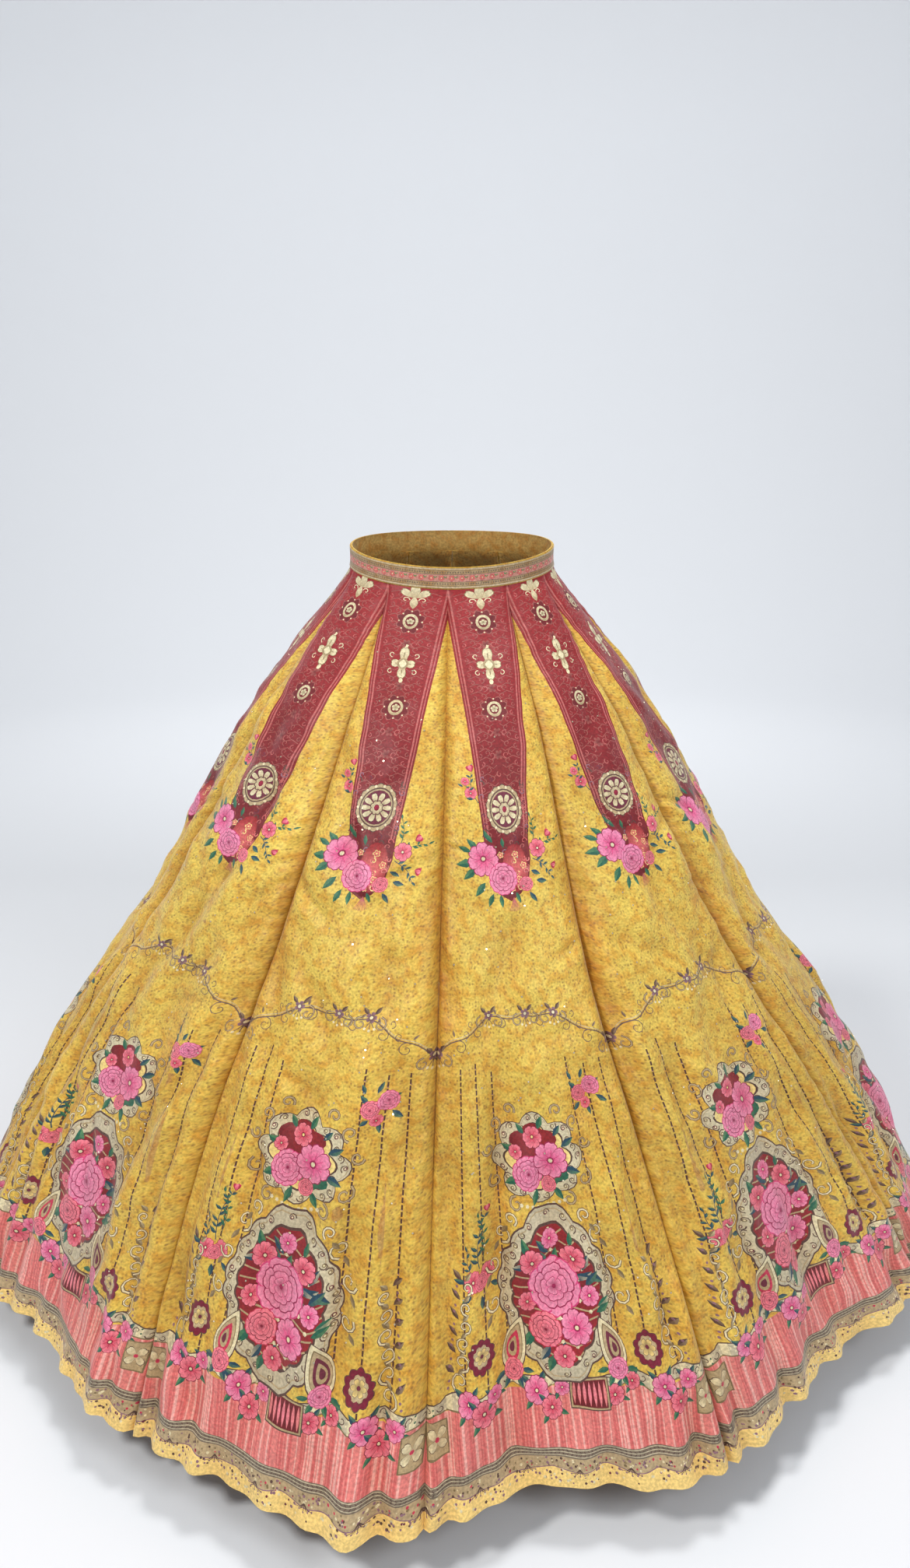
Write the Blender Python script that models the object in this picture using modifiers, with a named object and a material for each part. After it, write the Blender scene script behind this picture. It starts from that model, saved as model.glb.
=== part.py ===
# Lehenga skirt in its worn, hollow form: twelve kalis (gores) that hang from a waistband
# faced with a woven lace ribbon. Metres, +Z up, front towards -Y. The origin is the centre
# of the waist opening, level with the top of the waistband at the two sides.

import math

import bmesh
import bpy

# Waist
WAIST_HALF_WIDTH = 0.136
WAIST_HALF_DEPTH = 0.101
WAIST_DIP = 0.0245  # the top of the band hangs this much lower in front than at the sides
BAND_HEIGHT = 0.028

# Lengths and walls
SKIRT_DROP = 0.942  # level drop from the waist to the hem
HEM_HALF_WIDTH = 0.690
HEM_HALF_DEPTH = 0.652
CLOTH_WALL = 0.002
LACE_WALL = 0.0012
LACE_MARGIN = 0.0012  # the ribbon stops this far short of the band's two edges
SEAM_GAP = 0.0003

# Mesh density
KALI_COLUMNS = 10
KALI_ROWS = 18
BAND_COLUMNS = 30
BAND_ROWS = 2

# Half-widths of the body of the skirt at each level: the hips push it out quickly,
# then it falls as a cone. Rows go from the waist down.
MERIDIAN_COLUMNS = ("drop", "side", "front")
MERIDIAN = (
    (0.000, WAIST_HALF_WIDTH, WAIST_HALF_DEPTH),
    (BAND_HEIGHT, 0.1372, 0.1025),
    (0.048, 0.1490, 0.1170),
    (0.095, 0.1870, 0.1560),
    (0.190, 0.2640, 0.2420),
    (0.330, 0.3460, 0.3430),
    (0.470, 0.4240, 0.4270),
    (0.610, 0.5260, 0.4980),
    (0.760, 0.6120, 0.5660),
    (SKIRT_DROP, HEM_HALF_WIDTH, HEM_HALF_DEPTH),
)

# Where each seam between two kalis runs, in degrees round from the front, to the right.
SEAM_COLUMNS = ("waist", "hip", "middle", "hem")
SEAMS = (
    (-180.0, -179.0, -178.0, -179.0),
    (-153.0, -151.0, -150.0, -151.0),
    (-126.0, -123.0, -121.0, -122.0),
    (-101.0, -95.0, -93.0, -93.0),
    (-75.0, -68.0, -70.5, -67.0),
    (-37.0, -30.5, -32.2, -32.4),
    (-2.0, -1.6, -2.0, -2.3),
    (31.5, 25.5, 23.2, 26.4),
    (63.0, 55.0, 57.0, 64.5),
    (93.0, 86.0, 87.0, 93.0),
    (122.0, 118.0, 118.0, 122.0),
    (151.0, 149.0, 148.0, 151.0),
)
HIP_DROP = 0.18
MIDDLE_DROP = 0.50

# The hem's waves: how far it stands out from its mean radius at each bearing.
WAVE_COLUMNS = ("bearing", "offset")
HEM_WAVES = (
    (-180.0, 0.016),
    (-166.0, -0.022),
    (-148.0, 0.019),
    (-131.0, -0.026),
    (-113.0, 0.022),
    (-93.0, -0.018),
    (-75.0, 0.020),
    (-64.0, 0.006),
    (-52.0, -0.043),
    (-40.0, -0.015),
    (-27.0, -0.013),
    (-18.0, 0.000),
    (-9.0, 0.028),
    (-4.0, 0.024),
    (7.0, -0.035),
    (14.0, -0.029),
    (23.5, 0.002),
    (33.0, -0.024),
    (46.0, -0.048),
    (62.0, 0.000),
    (76.0, 0.022),
    (93.0, -0.020),
    (111.0, 0.020),
    (129.0, -0.026),
    (147.0, 0.020),
    (165.0, -0.020),
)
WAVE_START = 0.25  # drop at which the waves begin
WAVE_GROWTH = 1.3

# How deep the valley at each seam is, and how wide its flanks are, level by level.
VALLEY_COLUMNS = ("drop", "depth", "reach")
VALLEYS = (
    (BAND_HEIGHT, 0.0015, 0.005),
    (0.095, 0.0070, 0.008),
    (0.250, 0.0130, 0.011),
    (0.450, 0.0160, 0.013),
    (0.700, 0.0160, 0.014),
    (SKIRT_DROP, 0.0090, 0.014),
)

# One soft trough down each kali: where it lies across the kali (-1 to 1), where it
# starts, how deep it gets and how wide it is.
TROUGH_COLUMNS = ("across", "start", "depth", "width")
TROUGHS = (
    (0.20, 0.34, 0.009, 0.034),
    (-0.25, 0.40, 0.007, 0.030),
    (0.10, 0.30, 0.010, 0.036),
    (-0.15, 0.42, 0.008, 0.030),
    (0.30, 0.36, 0.009, 0.032),
    (-0.12, 0.36, 0.007, 0.034),
    (-0.30, 0.44, 0.006, 0.030),
    (0.15, 0.40, 0.008, 0.032),
    (-0.20, 0.34, 0.009, 0.034),
    (0.25, 0.42, 0.007, 0.030),
    (-0.10, 0.32, 0.010, 0.036),
    (0.18, 0.38, 0.008, 0.032),
)
TROUGH_FADE = 0.30  # drop over which a trough reaches its full depth

# Finishes: colour, roughness, metallic
FINISHES = {
    "printed_silk": ((0.72, 0.42, 0.07), 0.55, 0.0),
    "band_silk": ((0.66, 0.38, 0.08), 0.60, 0.0),
    "woven_lace": ((0.46, 0.31, 0.18), 0.45, 0.15),
}


def smoothstep(value):
    value = min(max(value, 0.0), 1.0)
    return value * value * (3.0 - 2.0 * value)


def curve(points, x):
    """Value at x of a smooth curve through (x, value) points, level past its ends."""
    if x <= points[0][0]:
        return points[0][1]
    if x >= points[-1][0]:
        return points[-1][1]
    i = next(k for k in range(len(points) - 1) if x <= points[k + 1][0])
    (x0, y0), (x1, y1) = points[i], points[i + 1]
    before = points[max(i - 1, 0)]
    after = points[min(i + 2, len(points) - 1)]
    slope0 = (y1 - before[1]) / (x1 - before[0])
    slope1 = (after[1] - y0) / (after[0] - x0)
    span = x1 - x0
    t = (x - x0) / span
    rise = y1 - y0
    a = slope0 * span - rise
    b = rise - slope1 * span
    return y0 + rise * t + t * (1 - t) * (a * (1 - t) + b * t)


def column(table, names, name):
    """The (first column, named column) pairs of a table."""
    index = names.index(name)
    return [(row[0], row[index]) for row in table]


SIDE = column(MERIDIAN, MERIDIAN_COLUMNS, "side")
FRONT = column(MERIDIAN, MERIDIAN_COLUMNS, "front")
VALLEY_DEPTH = column(VALLEYS, VALLEY_COLUMNS, "depth")
VALLEY_REACH = column(VALLEYS, VALLEY_COLUMNS, "reach")
TURN = 360.0
WAVES = (
    [(bearing - TURN, offset) for bearing, offset in HEM_WAVES[-2:]]
    + list(HEM_WAVES)
    + [(bearing + TURN, offset) for bearing, offset in HEM_WAVES[:3]]
)


def seam_bearing(index, drop):
    """Bearing of a seam at a level, in degrees; indices run on past a full turn."""
    turns, row = divmod(index, len(SEAMS))
    drops = (BAND_HEIGHT, HIP_DROP, MIDDLE_DROP, SKIRT_DROP)
    levels = list(zip(drops, SEAMS[row]))
    return curve(levels, drop) + turns * TURN


def hem_wave(bearing, drop):
    growth = max(0.0, (drop - WAVE_START) / (SKIRT_DROP - WAVE_START))
    wrapped = (bearing + 180.0) % TURN - 180.0
    return curve(WAVES, wrapped) * growth ** WAVE_GROWTH


def waist_rise(bearing):
    """Height of the waist's top edge at a bearing: low in front, a little raised behind."""
    lean = math.cos(math.radians(bearing))
    return -WAIST_DIP * lean * (0.75 + 0.25 * lean)


def skirt_point(bearing, drop, sink=0.0):
    """A point of the skirt's outer face, sunk towards the inside by the given amount."""
    turn = math.radians(bearing)
    out = hem_wave(bearing, drop) - sink
    x = (curve(SIDE, drop) + out) * math.sin(turn)
    y = -(curve(FRONT, drop) + out) * math.cos(turn)
    tilt_left = 1.0 - smoothstep(drop / MIDDLE_DROP)
    return x, y, waist_rise(bearing) * tilt_left - drop


def kali_point(index, across, drop):
    """A point of one kali: across runs from -1 at its left seam to 1 at its right seam."""
    left = seam_bearing(index, drop)
    right = seam_bearing(index + 1, drop)
    radius = curve(SIDE, drop)
    half = math.radians(right - left) / 2 * radius
    from_middle = across * (half - SEAM_GAP / 2)
    bearing = (left + right) / 2 + math.degrees(from_middle / radius)
    to_seam = half - abs(from_middle)
    sink = curve(VALLEY_DEPTH, drop) * math.exp(-to_seam / curve(VALLEY_REACH, drop))
    place, start, depth, width = TROUGHS[index]
    strength = smoothstep((drop - start) / TROUGH_FADE)
    from_trough = from_middle - place * half
    sink += depth * strength * math.exp(-((from_trough / width) ** 2))
    return skirt_point(bearing, drop, sink)


def kali_drop(share):
    """Level of a kali's row: rows stand closer together near the waist and the hem."""
    eased = share - 0.06 * math.sin(2 * math.pi * share)
    top = BAND_HEIGHT + SEAM_GAP
    return top + (SKIRT_DROP - top) * eased


def make_material(name):
    colour, roughness, metallic = FINISHES[name]
    material = bpy.data.materials.new(name)
    material.use_nodes = True
    shader = material.node_tree.nodes["Principled BSDF"]
    shader.inputs["Base Color"].default_value = (*colour, 1.0)
    shader.inputs["Roughness"].default_value = roughness
    shader.inputs["Metallic"].default_value = metallic
    return material


def make_sheet(name, place, columns, rows, wall, offset, material, collection):
    """A grid laid on the skirt by place(across, down), then given its wall."""
    sheet = bmesh.new()
    bmesh.ops.create_grid(sheet, x_segments=columns, y_segments=rows, size=1.0)
    for vertex in sheet.verts:
        across, up = vertex.co.x, vertex.co.y
        vertex.co = place(across, (1.0 - up) / 2)
    mesh = bpy.data.meshes.new(name)
    sheet.to_mesh(mesh)
    sheet.free()
    mesh.materials.append(material)
    mesh.shade_smooth()
    piece = bpy.data.objects.new(name, mesh)
    collection.objects.link(piece)
    thickness = piece.modifiers.new("wall", "SOLIDIFY")
    thickness.thickness = wall
    thickness.offset = offset
    return piece


def gathered(across):
    """Moves a grid's even columns towards its two side seams."""
    return math.sin(across * math.pi / 2)


def make_kali(index, material, collection):
    def place(across, down):
        return kali_point(index, gathered(across), kali_drop(down))

    name = f"kali_{index + 1:02d}"
    return make_sheet(name, place, KALI_COLUMNS, KALI_ROWS, CLOTH_WALL, -1.0, material, collection)


def band_place(centre, proud, margin):
    """Lays half of the waistband, from side seam to side seam, round the given bearing."""
    half_gap = math.degrees(SEAM_GAP / 2 / WAIST_HALF_DEPTH)
    half_turn = 90.0 - half_gap

    def place(across, down):
        drop = margin + (BAND_HEIGHT - 2 * margin) * down
        return skirt_point(centre + gathered(across) * half_turn, drop, -proud)

    return place


def make_waist(side, centre, band_material, lace_material, collection):
    band = band_place(centre, 0.0, 0.0)
    make_sheet(
        f"waistband_{side}", band, BAND_COLUMNS, BAND_ROWS, CLOTH_WALL, -1.0, band_material, collection
    )
    ribbon = band_place(centre, SEAM_GAP, LACE_MARGIN)
    make_sheet(
        f"waist_lace_{side}", ribbon, BAND_COLUMNS, BAND_ROWS, LACE_WALL, 1.0, lace_material, collection
    )


def main():
    for leftover in list(bpy.data.objects):
        bpy.data.objects.remove(leftover, do_unlink=True)
    collection = bpy.data.collections.new("lehenga_skirt")
    bpy.context.scene.collection.children.link(collection)
    silk = make_material("printed_silk")
    band_silk = make_material("band_silk")
    lace = make_material("woven_lace")
    for index in range(len(SEAMS)):
        make_kali(index, silk, collection)
    make_waist("front", 0.0, band_silk, lace, collection)
    make_waist("back", 180.0, band_silk, lace, collection)


main()
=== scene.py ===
# Lehenga skirt, the looks: printed kalis, waistband, woven lace, sequins, studio light and camera.
import math
import random

import bmesh
import bpy
import numpy as np
from mathutils import Matrix, Vector
from mathutils.bvhtree import BVHTree
from mathutils.geometry import delaunay_2d_cdt


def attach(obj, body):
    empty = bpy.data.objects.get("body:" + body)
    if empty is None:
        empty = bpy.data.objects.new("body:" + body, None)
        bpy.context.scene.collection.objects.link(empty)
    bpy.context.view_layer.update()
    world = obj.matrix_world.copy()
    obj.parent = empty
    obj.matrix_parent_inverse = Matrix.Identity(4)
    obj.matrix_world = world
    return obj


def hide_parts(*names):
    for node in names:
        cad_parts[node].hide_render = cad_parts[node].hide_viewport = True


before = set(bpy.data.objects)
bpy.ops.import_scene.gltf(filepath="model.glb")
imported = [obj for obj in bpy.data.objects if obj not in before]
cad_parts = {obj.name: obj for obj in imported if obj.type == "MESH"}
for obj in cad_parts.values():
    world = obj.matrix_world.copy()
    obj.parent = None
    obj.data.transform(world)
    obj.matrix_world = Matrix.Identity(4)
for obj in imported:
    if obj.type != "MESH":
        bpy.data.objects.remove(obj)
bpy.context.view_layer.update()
print("frame loaded:", len(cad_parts), "nodes")

# The skirt's form, in metres and degrees: the same sizes as the solids, with the seams drawn closer.
form = {
    "waistDip": 0.0245,
    "bandHeight": 0.028,
    "drop": 0.942,
    "seamGap": 0.00005,
    "waistHalfDepth": 0.101,
    "levels": (0.028, 0.18, 0.50, 0.942),  # drops of the seam table's four columns
    "waveStart": 0.25,
    "waveGrowth": 1.3,
    "troughFade": 0.30,
}
# drop, side, front
meridian = [
    (0.000, 0.1360, 0.1010),
    (0.028, 0.1372, 0.1025),
    (0.048, 0.1490, 0.1170),
    (0.095, 0.1870, 0.1560),
    (0.190, 0.2640, 0.2420),
    (0.330, 0.3460, 0.3430),
    (0.470, 0.4240, 0.4270),
    (0.610, 0.5260, 0.4980),
    (0.760, 0.6120, 0.5660),
    (0.942, 0.6900, 0.6520),
]
# bearing of each seam at the waist, hip, middle and hem
seams = [
    (-180.0, -179.0, -178.0, -179.0),
    (-153.0, -151.0, -150.0, -151.0),
    (-126.0, -123.0, -121.0, -122.0),
    (-101.0, -95.0, -93.0, -93.0),
    (-75.0, -68.0, -70.5, -67.0),
    (-37.0, -30.5, -32.2, -32.4),
    (-2.0, -1.6, -2.0, -2.3),
    (31.5, 25.5, 23.2, 26.4),
    (63.0, 55.0, 57.0, 64.5),
    (93.0, 86.0, 87.0, 93.0),
    (122.0, 118.0, 118.0, 122.0),
    (151.0, 149.0, 148.0, 151.0),
]
# bearing, offset of the hem
hemWaves = [
    (-180.0, 0.016), (-166.0, -0.022), (-148.0, 0.019), (-131.0, -0.026), (-113.0, 0.022),
    (-93.0, -0.018), (-75.0, 0.020), (-64.0, 0.006), (-52.0, -0.043), (-40.0, -0.015),
    (-27.0, -0.013), (-18.0, 0.000), (-9.0, 0.028), (-4.0, 0.024), (7.0, -0.035),
    (14.0, -0.029), (23.5, 0.002), (33.0, -0.024), (46.0, -0.048), (62.0, 0.000),
    (76.0, 0.022), (93.0, -0.020), (111.0, 0.020), (129.0, -0.026), (147.0, 0.020),
    (165.0, -0.020),
]
# drop, depth, reach of the valley at each seam
valleys = [
    (0.028, 0.0015, 0.005),
    (0.095, 0.0070, 0.008),
    (0.250, 0.0130, 0.011),
    (0.450, 0.0160, 0.013),
    (0.700, 0.0160, 0.014),
    (0.942, 0.0090, 0.014),
]
# across, start, depth, width of the soft trough down each kali
troughs = [
    (0.20, 0.34, 0.009, 0.034),
    (-0.25, 0.40, 0.007, 0.030),
    (0.10, 0.30, 0.010, 0.036),
    (-0.15, 0.42, 0.008, 0.030),
    (0.30, 0.36, 0.009, 0.032),
    (-0.12, 0.36, 0.007, 0.034),
    (-0.30, 0.44, 0.006, 0.030),
    (0.15, 0.40, 0.008, 0.032),
    (-0.20, 0.34, 0.009, 0.034),
    (0.25, 0.42, 0.007, 0.030),
    (-0.10, 0.32, 0.010, 0.036),
    (0.18, 0.38, 0.008, 0.032),
]
# Finer folds of the cloth itself, which the solids leave out.
folds = {
    "stitchLines": (-0.74, -0.58, -0.41, 0.41, 0.60, 0.79),  # across the kali
    "stitchFrom": 0.610,
    "stitchTo": 0.955,
    "channelDepth": 0.0036,
    "channelWidth": 0.0075,
    "puckerPitch": 0.0215,
    "puckerHeight": 0.0019,
    "puckerReach": 0.016,
    "flutterFrom": 0.985,
    "flutterPitch": 0.088,
    "ripplePitch": 0.047,
    "flutterHeight": 0.0040,
}
# Long soft pleats down the lower half: across, start, depth, width
pleats = [
    (-0.82, 0.50, 0.0105, 0.012),
    (-0.50, 0.70, 0.0080, 0.016),
    (0.50, 0.64, 0.0085, 0.015),
    (0.80, 0.54, 0.0115, 0.012),
]
# Soft creases: across, y, angle from level, half length, depth, half width
# Each kali takes its own turn of them.
creases = [
    (-0.45, 0.300, 62, 0.090, 0.0050, 0.010),
    (0.30, 0.480, 76, 0.150, 0.0080, 0.016),
    (-0.62, 0.455, 38, 0.040, 0.0040, 0.007),
    (0.66, 0.395, -32, 0.034, 0.0036, 0.006),
    (0.05, 0.420, 28, 0.034, 0.0030, 0.007),
    (-0.15, 0.545, 50, 0.055, 0.0045, 0.010),
    (0.52, 0.610, -58, 0.060, 0.0045, 0.009),
    (-0.30, 0.640, 30, 0.038, 0.0030, 0.007),
    (-0.50, 0.700, 82, 0.150, 0.0075, 0.013),
    (0.50, 0.800, 85, 0.160, 0.0080, 0.014),
    (0.08, 0.850, -80, 0.110, 0.0045, 0.011),
    (-0.72, 0.880, 74, 0.110, 0.0065, 0.011),
    (0.80, 0.930, -78, 0.080, 0.0050, 0.009),
]
# Slow unevenness of the hanging cloth: pitch across, pitch down, height
swells = [
    (0.110, 0.260, 0.0028),
    (0.070, 0.150, 0.0018),
    (0.190, 0.100, 0.0015),
    (0.052, 0.083, 0.0010),
    (0.083, 0.047, 0.0009),
]
# The pull of each seam's stitching, and the distance over which other folds fade out towards it
seamCrease = {"depth": 0.0050, "reach": 0.0045, "ease": 0.011}
# Painted shade and light: cloth that has sunk past "from" is painted darker, by the strengths in red, green
# and blue, and less so low down; proud cloth is painted a little lighter
paintedFoldShade = {
    "from": 0.0055,
    "span": 0.015,
    "proudPaintedLight": -0.35,
    "strength": np.array([0.30, 0.50, 0.74]),
    "paleFrom": 0.50,
    "paleOver": 0.30,
    "paleBy": 0.5,
}


def smoothCurve(rows, x, column=1):
    table = np.array(rows, dtype=float)
    xs, ys = table[:, 0], table[:, column]
    x = np.clip(x, xs[0], xs[-1])
    i = np.clip(np.searchsorted(xs, x) - 1, 0, len(xs) - 2)
    before = np.maximum(i - 1, 0)
    after = np.minimum(i + 2, len(xs) - 1)
    span = xs[i + 1] - xs[i]
    rise = ys[i + 1] - ys[i]
    slopeIn = (ys[i + 1] - ys[before]) / (xs[i + 1] - xs[before])
    slopeOut = (ys[after] - ys[i]) / (xs[after] - xs[i])
    t = (x - xs[i]) / span
    a = slopeIn * span - rise
    b = rise - slopeOut * span
    return ys[i] + rise * t + t * (1 - t) * (a * (1 - t) + b * t)


def smoothStep(value):
    value = np.clip(value, 0.0, 1.0)
    return value * value * (3.0 - 2.0 * value)


wavesAround = (
    [(bearing - 360.0, offset) for bearing, offset in hemWaves[-2:]]
    + hemWaves
    + [(bearing + 360.0, offset) for bearing, offset in hemWaves[:3]]
)


def seamBearing(index, drop):
    turns, row = divmod(index, len(seams))
    return smoothCurve(list(zip(form["levels"], seams[row])), drop) + turns * 360.0


def skirtPoint(bearing, drop, sink):
    # a point of the outer face, from the centre of the waist
    turn = np.radians(bearing)
    grown = np.clip((drop - form["waveStart"]) / (form["drop"] - form["waveStart"]), 0.0, None)
    wrapped = (bearing + 180.0) % 360.0 - 180.0
    out = smoothCurve(wavesAround, wrapped) * grown ** form["waveGrowth"] - sink
    lean = np.cos(turn)
    rise = -form["waistDip"] * lean * (0.75 + 0.25 * lean)
    tilt = 1.0 - smoothStep(drop / form["levels"][2])
    x = (smoothCurve(meridian, drop, 1) + out) * np.sin(turn)
    y = -(smoothCurve(meridian, drop, 2) + out) * np.cos(turn)
    return np.stack([x, y, rise * tilt - drop], axis=-1)


# The flat cut of a kali: y runs down its middle from the waistband, x across it.
dropSteps = np.linspace(form["bandHeight"] + form["seamGap"], form["drop"], 1600)
meanRadius = (smoothCurve(meridian, dropSteps, 1) + smoothCurve(meridian, dropSteps, 2)) / 2
slantSteps = np.concatenate([[0.0], np.cumsum(np.hypot(np.diff(meanRadius), np.diff(dropSteps)))])
kaliLength = float(slantSteps[-1])
halfSteps = meanRadius * math.pi / len(seams)


def halfAt(y):
    return np.interp(y, slantSteps, halfSteps)


def kaliPlace(index, x, y):
    # bearing and drop of a point of the flat kali, and how far the cloth sinks in there
    x, y = np.asarray(x, dtype=float), np.asarray(y, dtype=float)
    drop = np.interp(y, slantSteps, dropSteps)
    across = np.clip(x / halfAt(y), -1.0, 1.0)
    left, right = seamBearing(index, drop), seamBearing(index + 1, drop)
    radius = smoothCurve(meridian, drop, 1)
    half = np.radians(right - left) / 2 * radius
    fromMiddle = across * (half - form["seamGap"] / 2)
    bearing = (left + right) / 2 + np.degrees(fromMiddle / radius)
    toSeam = half - np.abs(fromMiddle)
    sink = smoothCurve(valleys, drop, 1) * np.exp(-toSeam / smoothCurve(valleys, drop, 2))
    place, start, depth, width = troughs[index]
    strength = smoothStep((drop - start) / form["troughFade"])
    sink = sink + depth * strength * np.exp(-(((fromMiddle - place * half) / width) ** 2))
    return bearing, drop, sink - fineRelief(index, across, y, fromMiddle, toSeam, half)


def kaliSurface(index, x, y):
    return skirtPoint(*kaliPlace(index, x, y))


def paintFoldShade(index, x, y):
    # painted shade: the print is darkened and turned more orange where the cloth sinks between its folds, and
    # painted lighter where it stands proud
    sink = kaliPlace(index, x, y)[2]
    deep = np.clip((sink - paintedFoldShade["from"]) / paintedFoldShade["span"], paintedFoldShade["proudPaintedLight"], 1.0)
    lowDown = smoothStep((y - paintedFoldShade["paleFrom"]) / paintedFoldShade["paleOver"])
    deep = deep * (1.0 - paintedFoldShade["paleBy"] * lowDown)
    return np.exp(-deep[:, None] * paintedFoldShade["strength"])


def fineRelief(index, across, y, fromMiddle, toSeam, half):
    luck = random.Random(410 + index)
    lift = np.zeros_like(y)
    # channels along the stitched lines, with the cloth puffed between them
    fadeIn, fadeOut = (y - folds["stitchFrom"]) / 0.07, (folds["stitchTo"] - y) / 0.03
    inStitches = smoothStep(fadeIn) * smoothStep(fadeOut)
    for line in folds["stitchLines"]:
        away = (across - line) * half
        depth = folds["channelDepth"] * luck.uniform(0.6, 1.5)
        lift -= depth * inStitches * np.exp(-((away / folds["channelWidth"]) ** 2))
    for place, start, depth, width in pleats:
        place = place * (1 if index % 2 else -1) + luck.uniform(-0.06, 0.06)
        grown = smoothStep((y - start - luck.uniform(-0.05, 0.08)) / 0.24)
        lift -= depth * luck.uniform(0.6, 1.3) * grown * np.exp(-(((across - place) * half / width) ** 2))
    # little puckers that the seam's stitching draws up
    wander = luck.uniform(0, 6)
    drift = 1.7 * np.sin(y * 31 + wander) + np.sign(across) * 1.1
    ripple = np.sin(2 * math.pi * y / folds["puckerPitch"] + drift)
    uneven = 0.55 + 0.45 * np.sin(y * 17 + wander * 2)
    nearSeam = np.exp(-toSeam / folds["puckerReach"]) * smoothStep(y / 0.08)
    lift += folds["puckerHeight"] * uneven * ripple * nearSeam
    # the main creases, moved a little from kali to kali
    for place, down, angle, length, depth, width in creases:
        moved = place + luck.uniform(-0.12, 0.12)
        level = down + luck.uniform(-0.05, 0.05)
        tilt = math.radians(angle * (1 if index % 2 else -1) + luck.uniform(-12, 12))
        if index % 2 == 0:
            moved = -moved
        depth *= luck.uniform(0.5, 1.25)
        dx, dy = fromMiddle - moved * half, y - level
        along = dx * math.cos(tilt) + dy * math.sin(tilt)
        side = -dx * math.sin(tilt) + dy * math.cos(tilt)
        lift -= depth * np.exp(-((along / length) ** 2) - (side / width) ** 2)
        lift += 0.45 * depth * np.exp(-((along / length) ** 2) - ((side - 2 * width) / (1.4 * width)) ** 2)
    for pitchX, pitchY, height in swells:
        phase = luck.uniform(0, 6.28)
        swell = np.sin(fromMiddle * 6.28 / pitchX + phase) * np.sin(y * 6.28 / pitchY + 2 * phase)
        lift += height * swell * smoothStep(y / 0.2)
    # the hem's own flutter
    atHem = smoothStep((y - folds["flutterFrom"]) / (kaliLength - folds["flutterFrom"]))
    wave = np.sin(fromMiddle * 6.28 / folds["flutterPitch"] + wander)
    wave = wave + 0.5 * np.sin(fromMiddle * 6.28 / folds["ripplePitch"])
    lift += folds["flutterHeight"] * atHem * wave
    # two kalis meet exactly at their seam, where the stitching pulls the edge in
    pulled = seamCrease["depth"] * np.exp(-toSeam / seamCrease["reach"]) * smoothStep(y / 0.05)
    return lift * smoothStep(toSeam / seamCrease["ease"]) - pulled


def surfaceNormals(index, x, y):
    step = 0.0006
    half = halfAt(y)
    left = kaliSurface(index, np.maximum(x - step, -half), y)
    right = kaliSurface(index, np.minimum(x + step, half), y)
    above = kaliSurface(index, x, np.maximum(y - step, 0.0))
    below = kaliSurface(index, x, np.minimum(y + step, kaliLength))
    normal = np.cross(right - left, above - below)
    return normal / np.linalg.norm(normal, axis=1, keepdims=True)


# The print: colours by name, as they read on screen
inks = {
    "silk": (217, 181, 77),
    "silkBack": (196, 156, 86),
    "red": (150, 34, 36),
    "redDeep": (108, 24, 28),
    "redLine": (180, 94, 86),
    "filigree": (154, 84, 74),
    "cream": (222, 204, 160),
    "creamShade": (176, 150, 108),
    "olive": (128, 106, 70),
    "umber": (88, 60, 50),
    "pinkLight": (232, 138, 162),
    "pink": (208, 60, 112),
    "pinkDeep": (146, 26, 70),
    "roseLight": (234, 124, 134),
    "rose": (192, 48, 74),
    "roseDeep": (122, 20, 44),
    "leaf": (36, 92, 68),
    "leafLight": (104, 142, 88),
    "leafBlue": (36, 66, 80),
    "coral": (220, 122, 112),
    "coralLight": (234, 164, 150),
    "coralDeep": (206, 98, 92),
    "hemGold": (240, 202, 120),
    "braid": (118, 102, 84),
    "braidLight": (190, 174, 142),
    "mauve": (138, 98, 108),
    "beige": (180, 154, 114),
    "gold": (236, 204, 128),
    "plum": (106, 36, 52),
    "scroll": (112, 86, 72),
    "thread": (84, 52, 40),
    "ribbon": (176, 150, 112),
    "ribbonPale": (198, 178, 142),
    "ribbonRose": (204, 146, 128),
}


def ink(name):
    return tuple((c / 255 / 12.92) if c <= 10 else ((c / 255 + 0.055) / 1.055) ** 2.4 for c in inks[name])


marks = []  # millimetres on the flat kali, x to the right and y down; the last mark lies on top


def mark(points, inner, outer=None, centre=None, radius=1.0, ground=0.0):
    area = sum(a[0] * b[1] - b[0] * a[1] for a, b in zip(points, points[1:] + points[:1]))
    if abs(area) < 0.02:
        return
    middle = centre or (sum(p[0] for p in points) / len(points), sum(p[1] for p in points) / len(points))
    marks.append({
        "points": points, "inner": ink(inner), "outer": ink(outer or inner),
        "centre": middle, "radius": radius, "ground": ground, "size": abs(area) / 2,
    })


def oval(x, y, rx, ry=None, count=12, turn=0.0):
    ry = ry or rx
    steps = [turn + 2 * math.pi * k / count for k in range(count)]
    return [(x + rx * math.cos(a), y + ry * math.sin(a)) for a in steps]


def lobed(x, y, rx, ry, lobes, depth, perLobe=4, turn=0.0):
    points = []
    for k in range(lobes * perLobe):
        a = 2 * math.pi * k / (lobes * perLobe)
        size = 1 - depth * (1 - abs(math.sin(lobes * a / 2)))
        points.append((x + rx * size * math.cos(a + turn), y + ry * size * math.sin(a + turn)))
    return points


def ogee(x, y, halfWidth, halfHeight, count=11, point=0.85):
    steps = [-1 + 2 * k / count for k in range(count + 1)]
    right = [(halfWidth * (1 - abs(s) ** 1.6) ** point, halfHeight * s) for s in steps]
    left = [(-px, py) for px, py in reversed(right[1:-1])]
    return [(x + px, y + py) for px, py in right + left]


def scalloped(points, x, y, count, depth):
    grown = [1 + depth * abs(math.sin(count * math.atan2(py - y, px - x) / 2)) for px, py in points]
    return [(x + (px - x) * size, y + (py - y) * size) for (px, py), size in zip(points, grown)]


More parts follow.
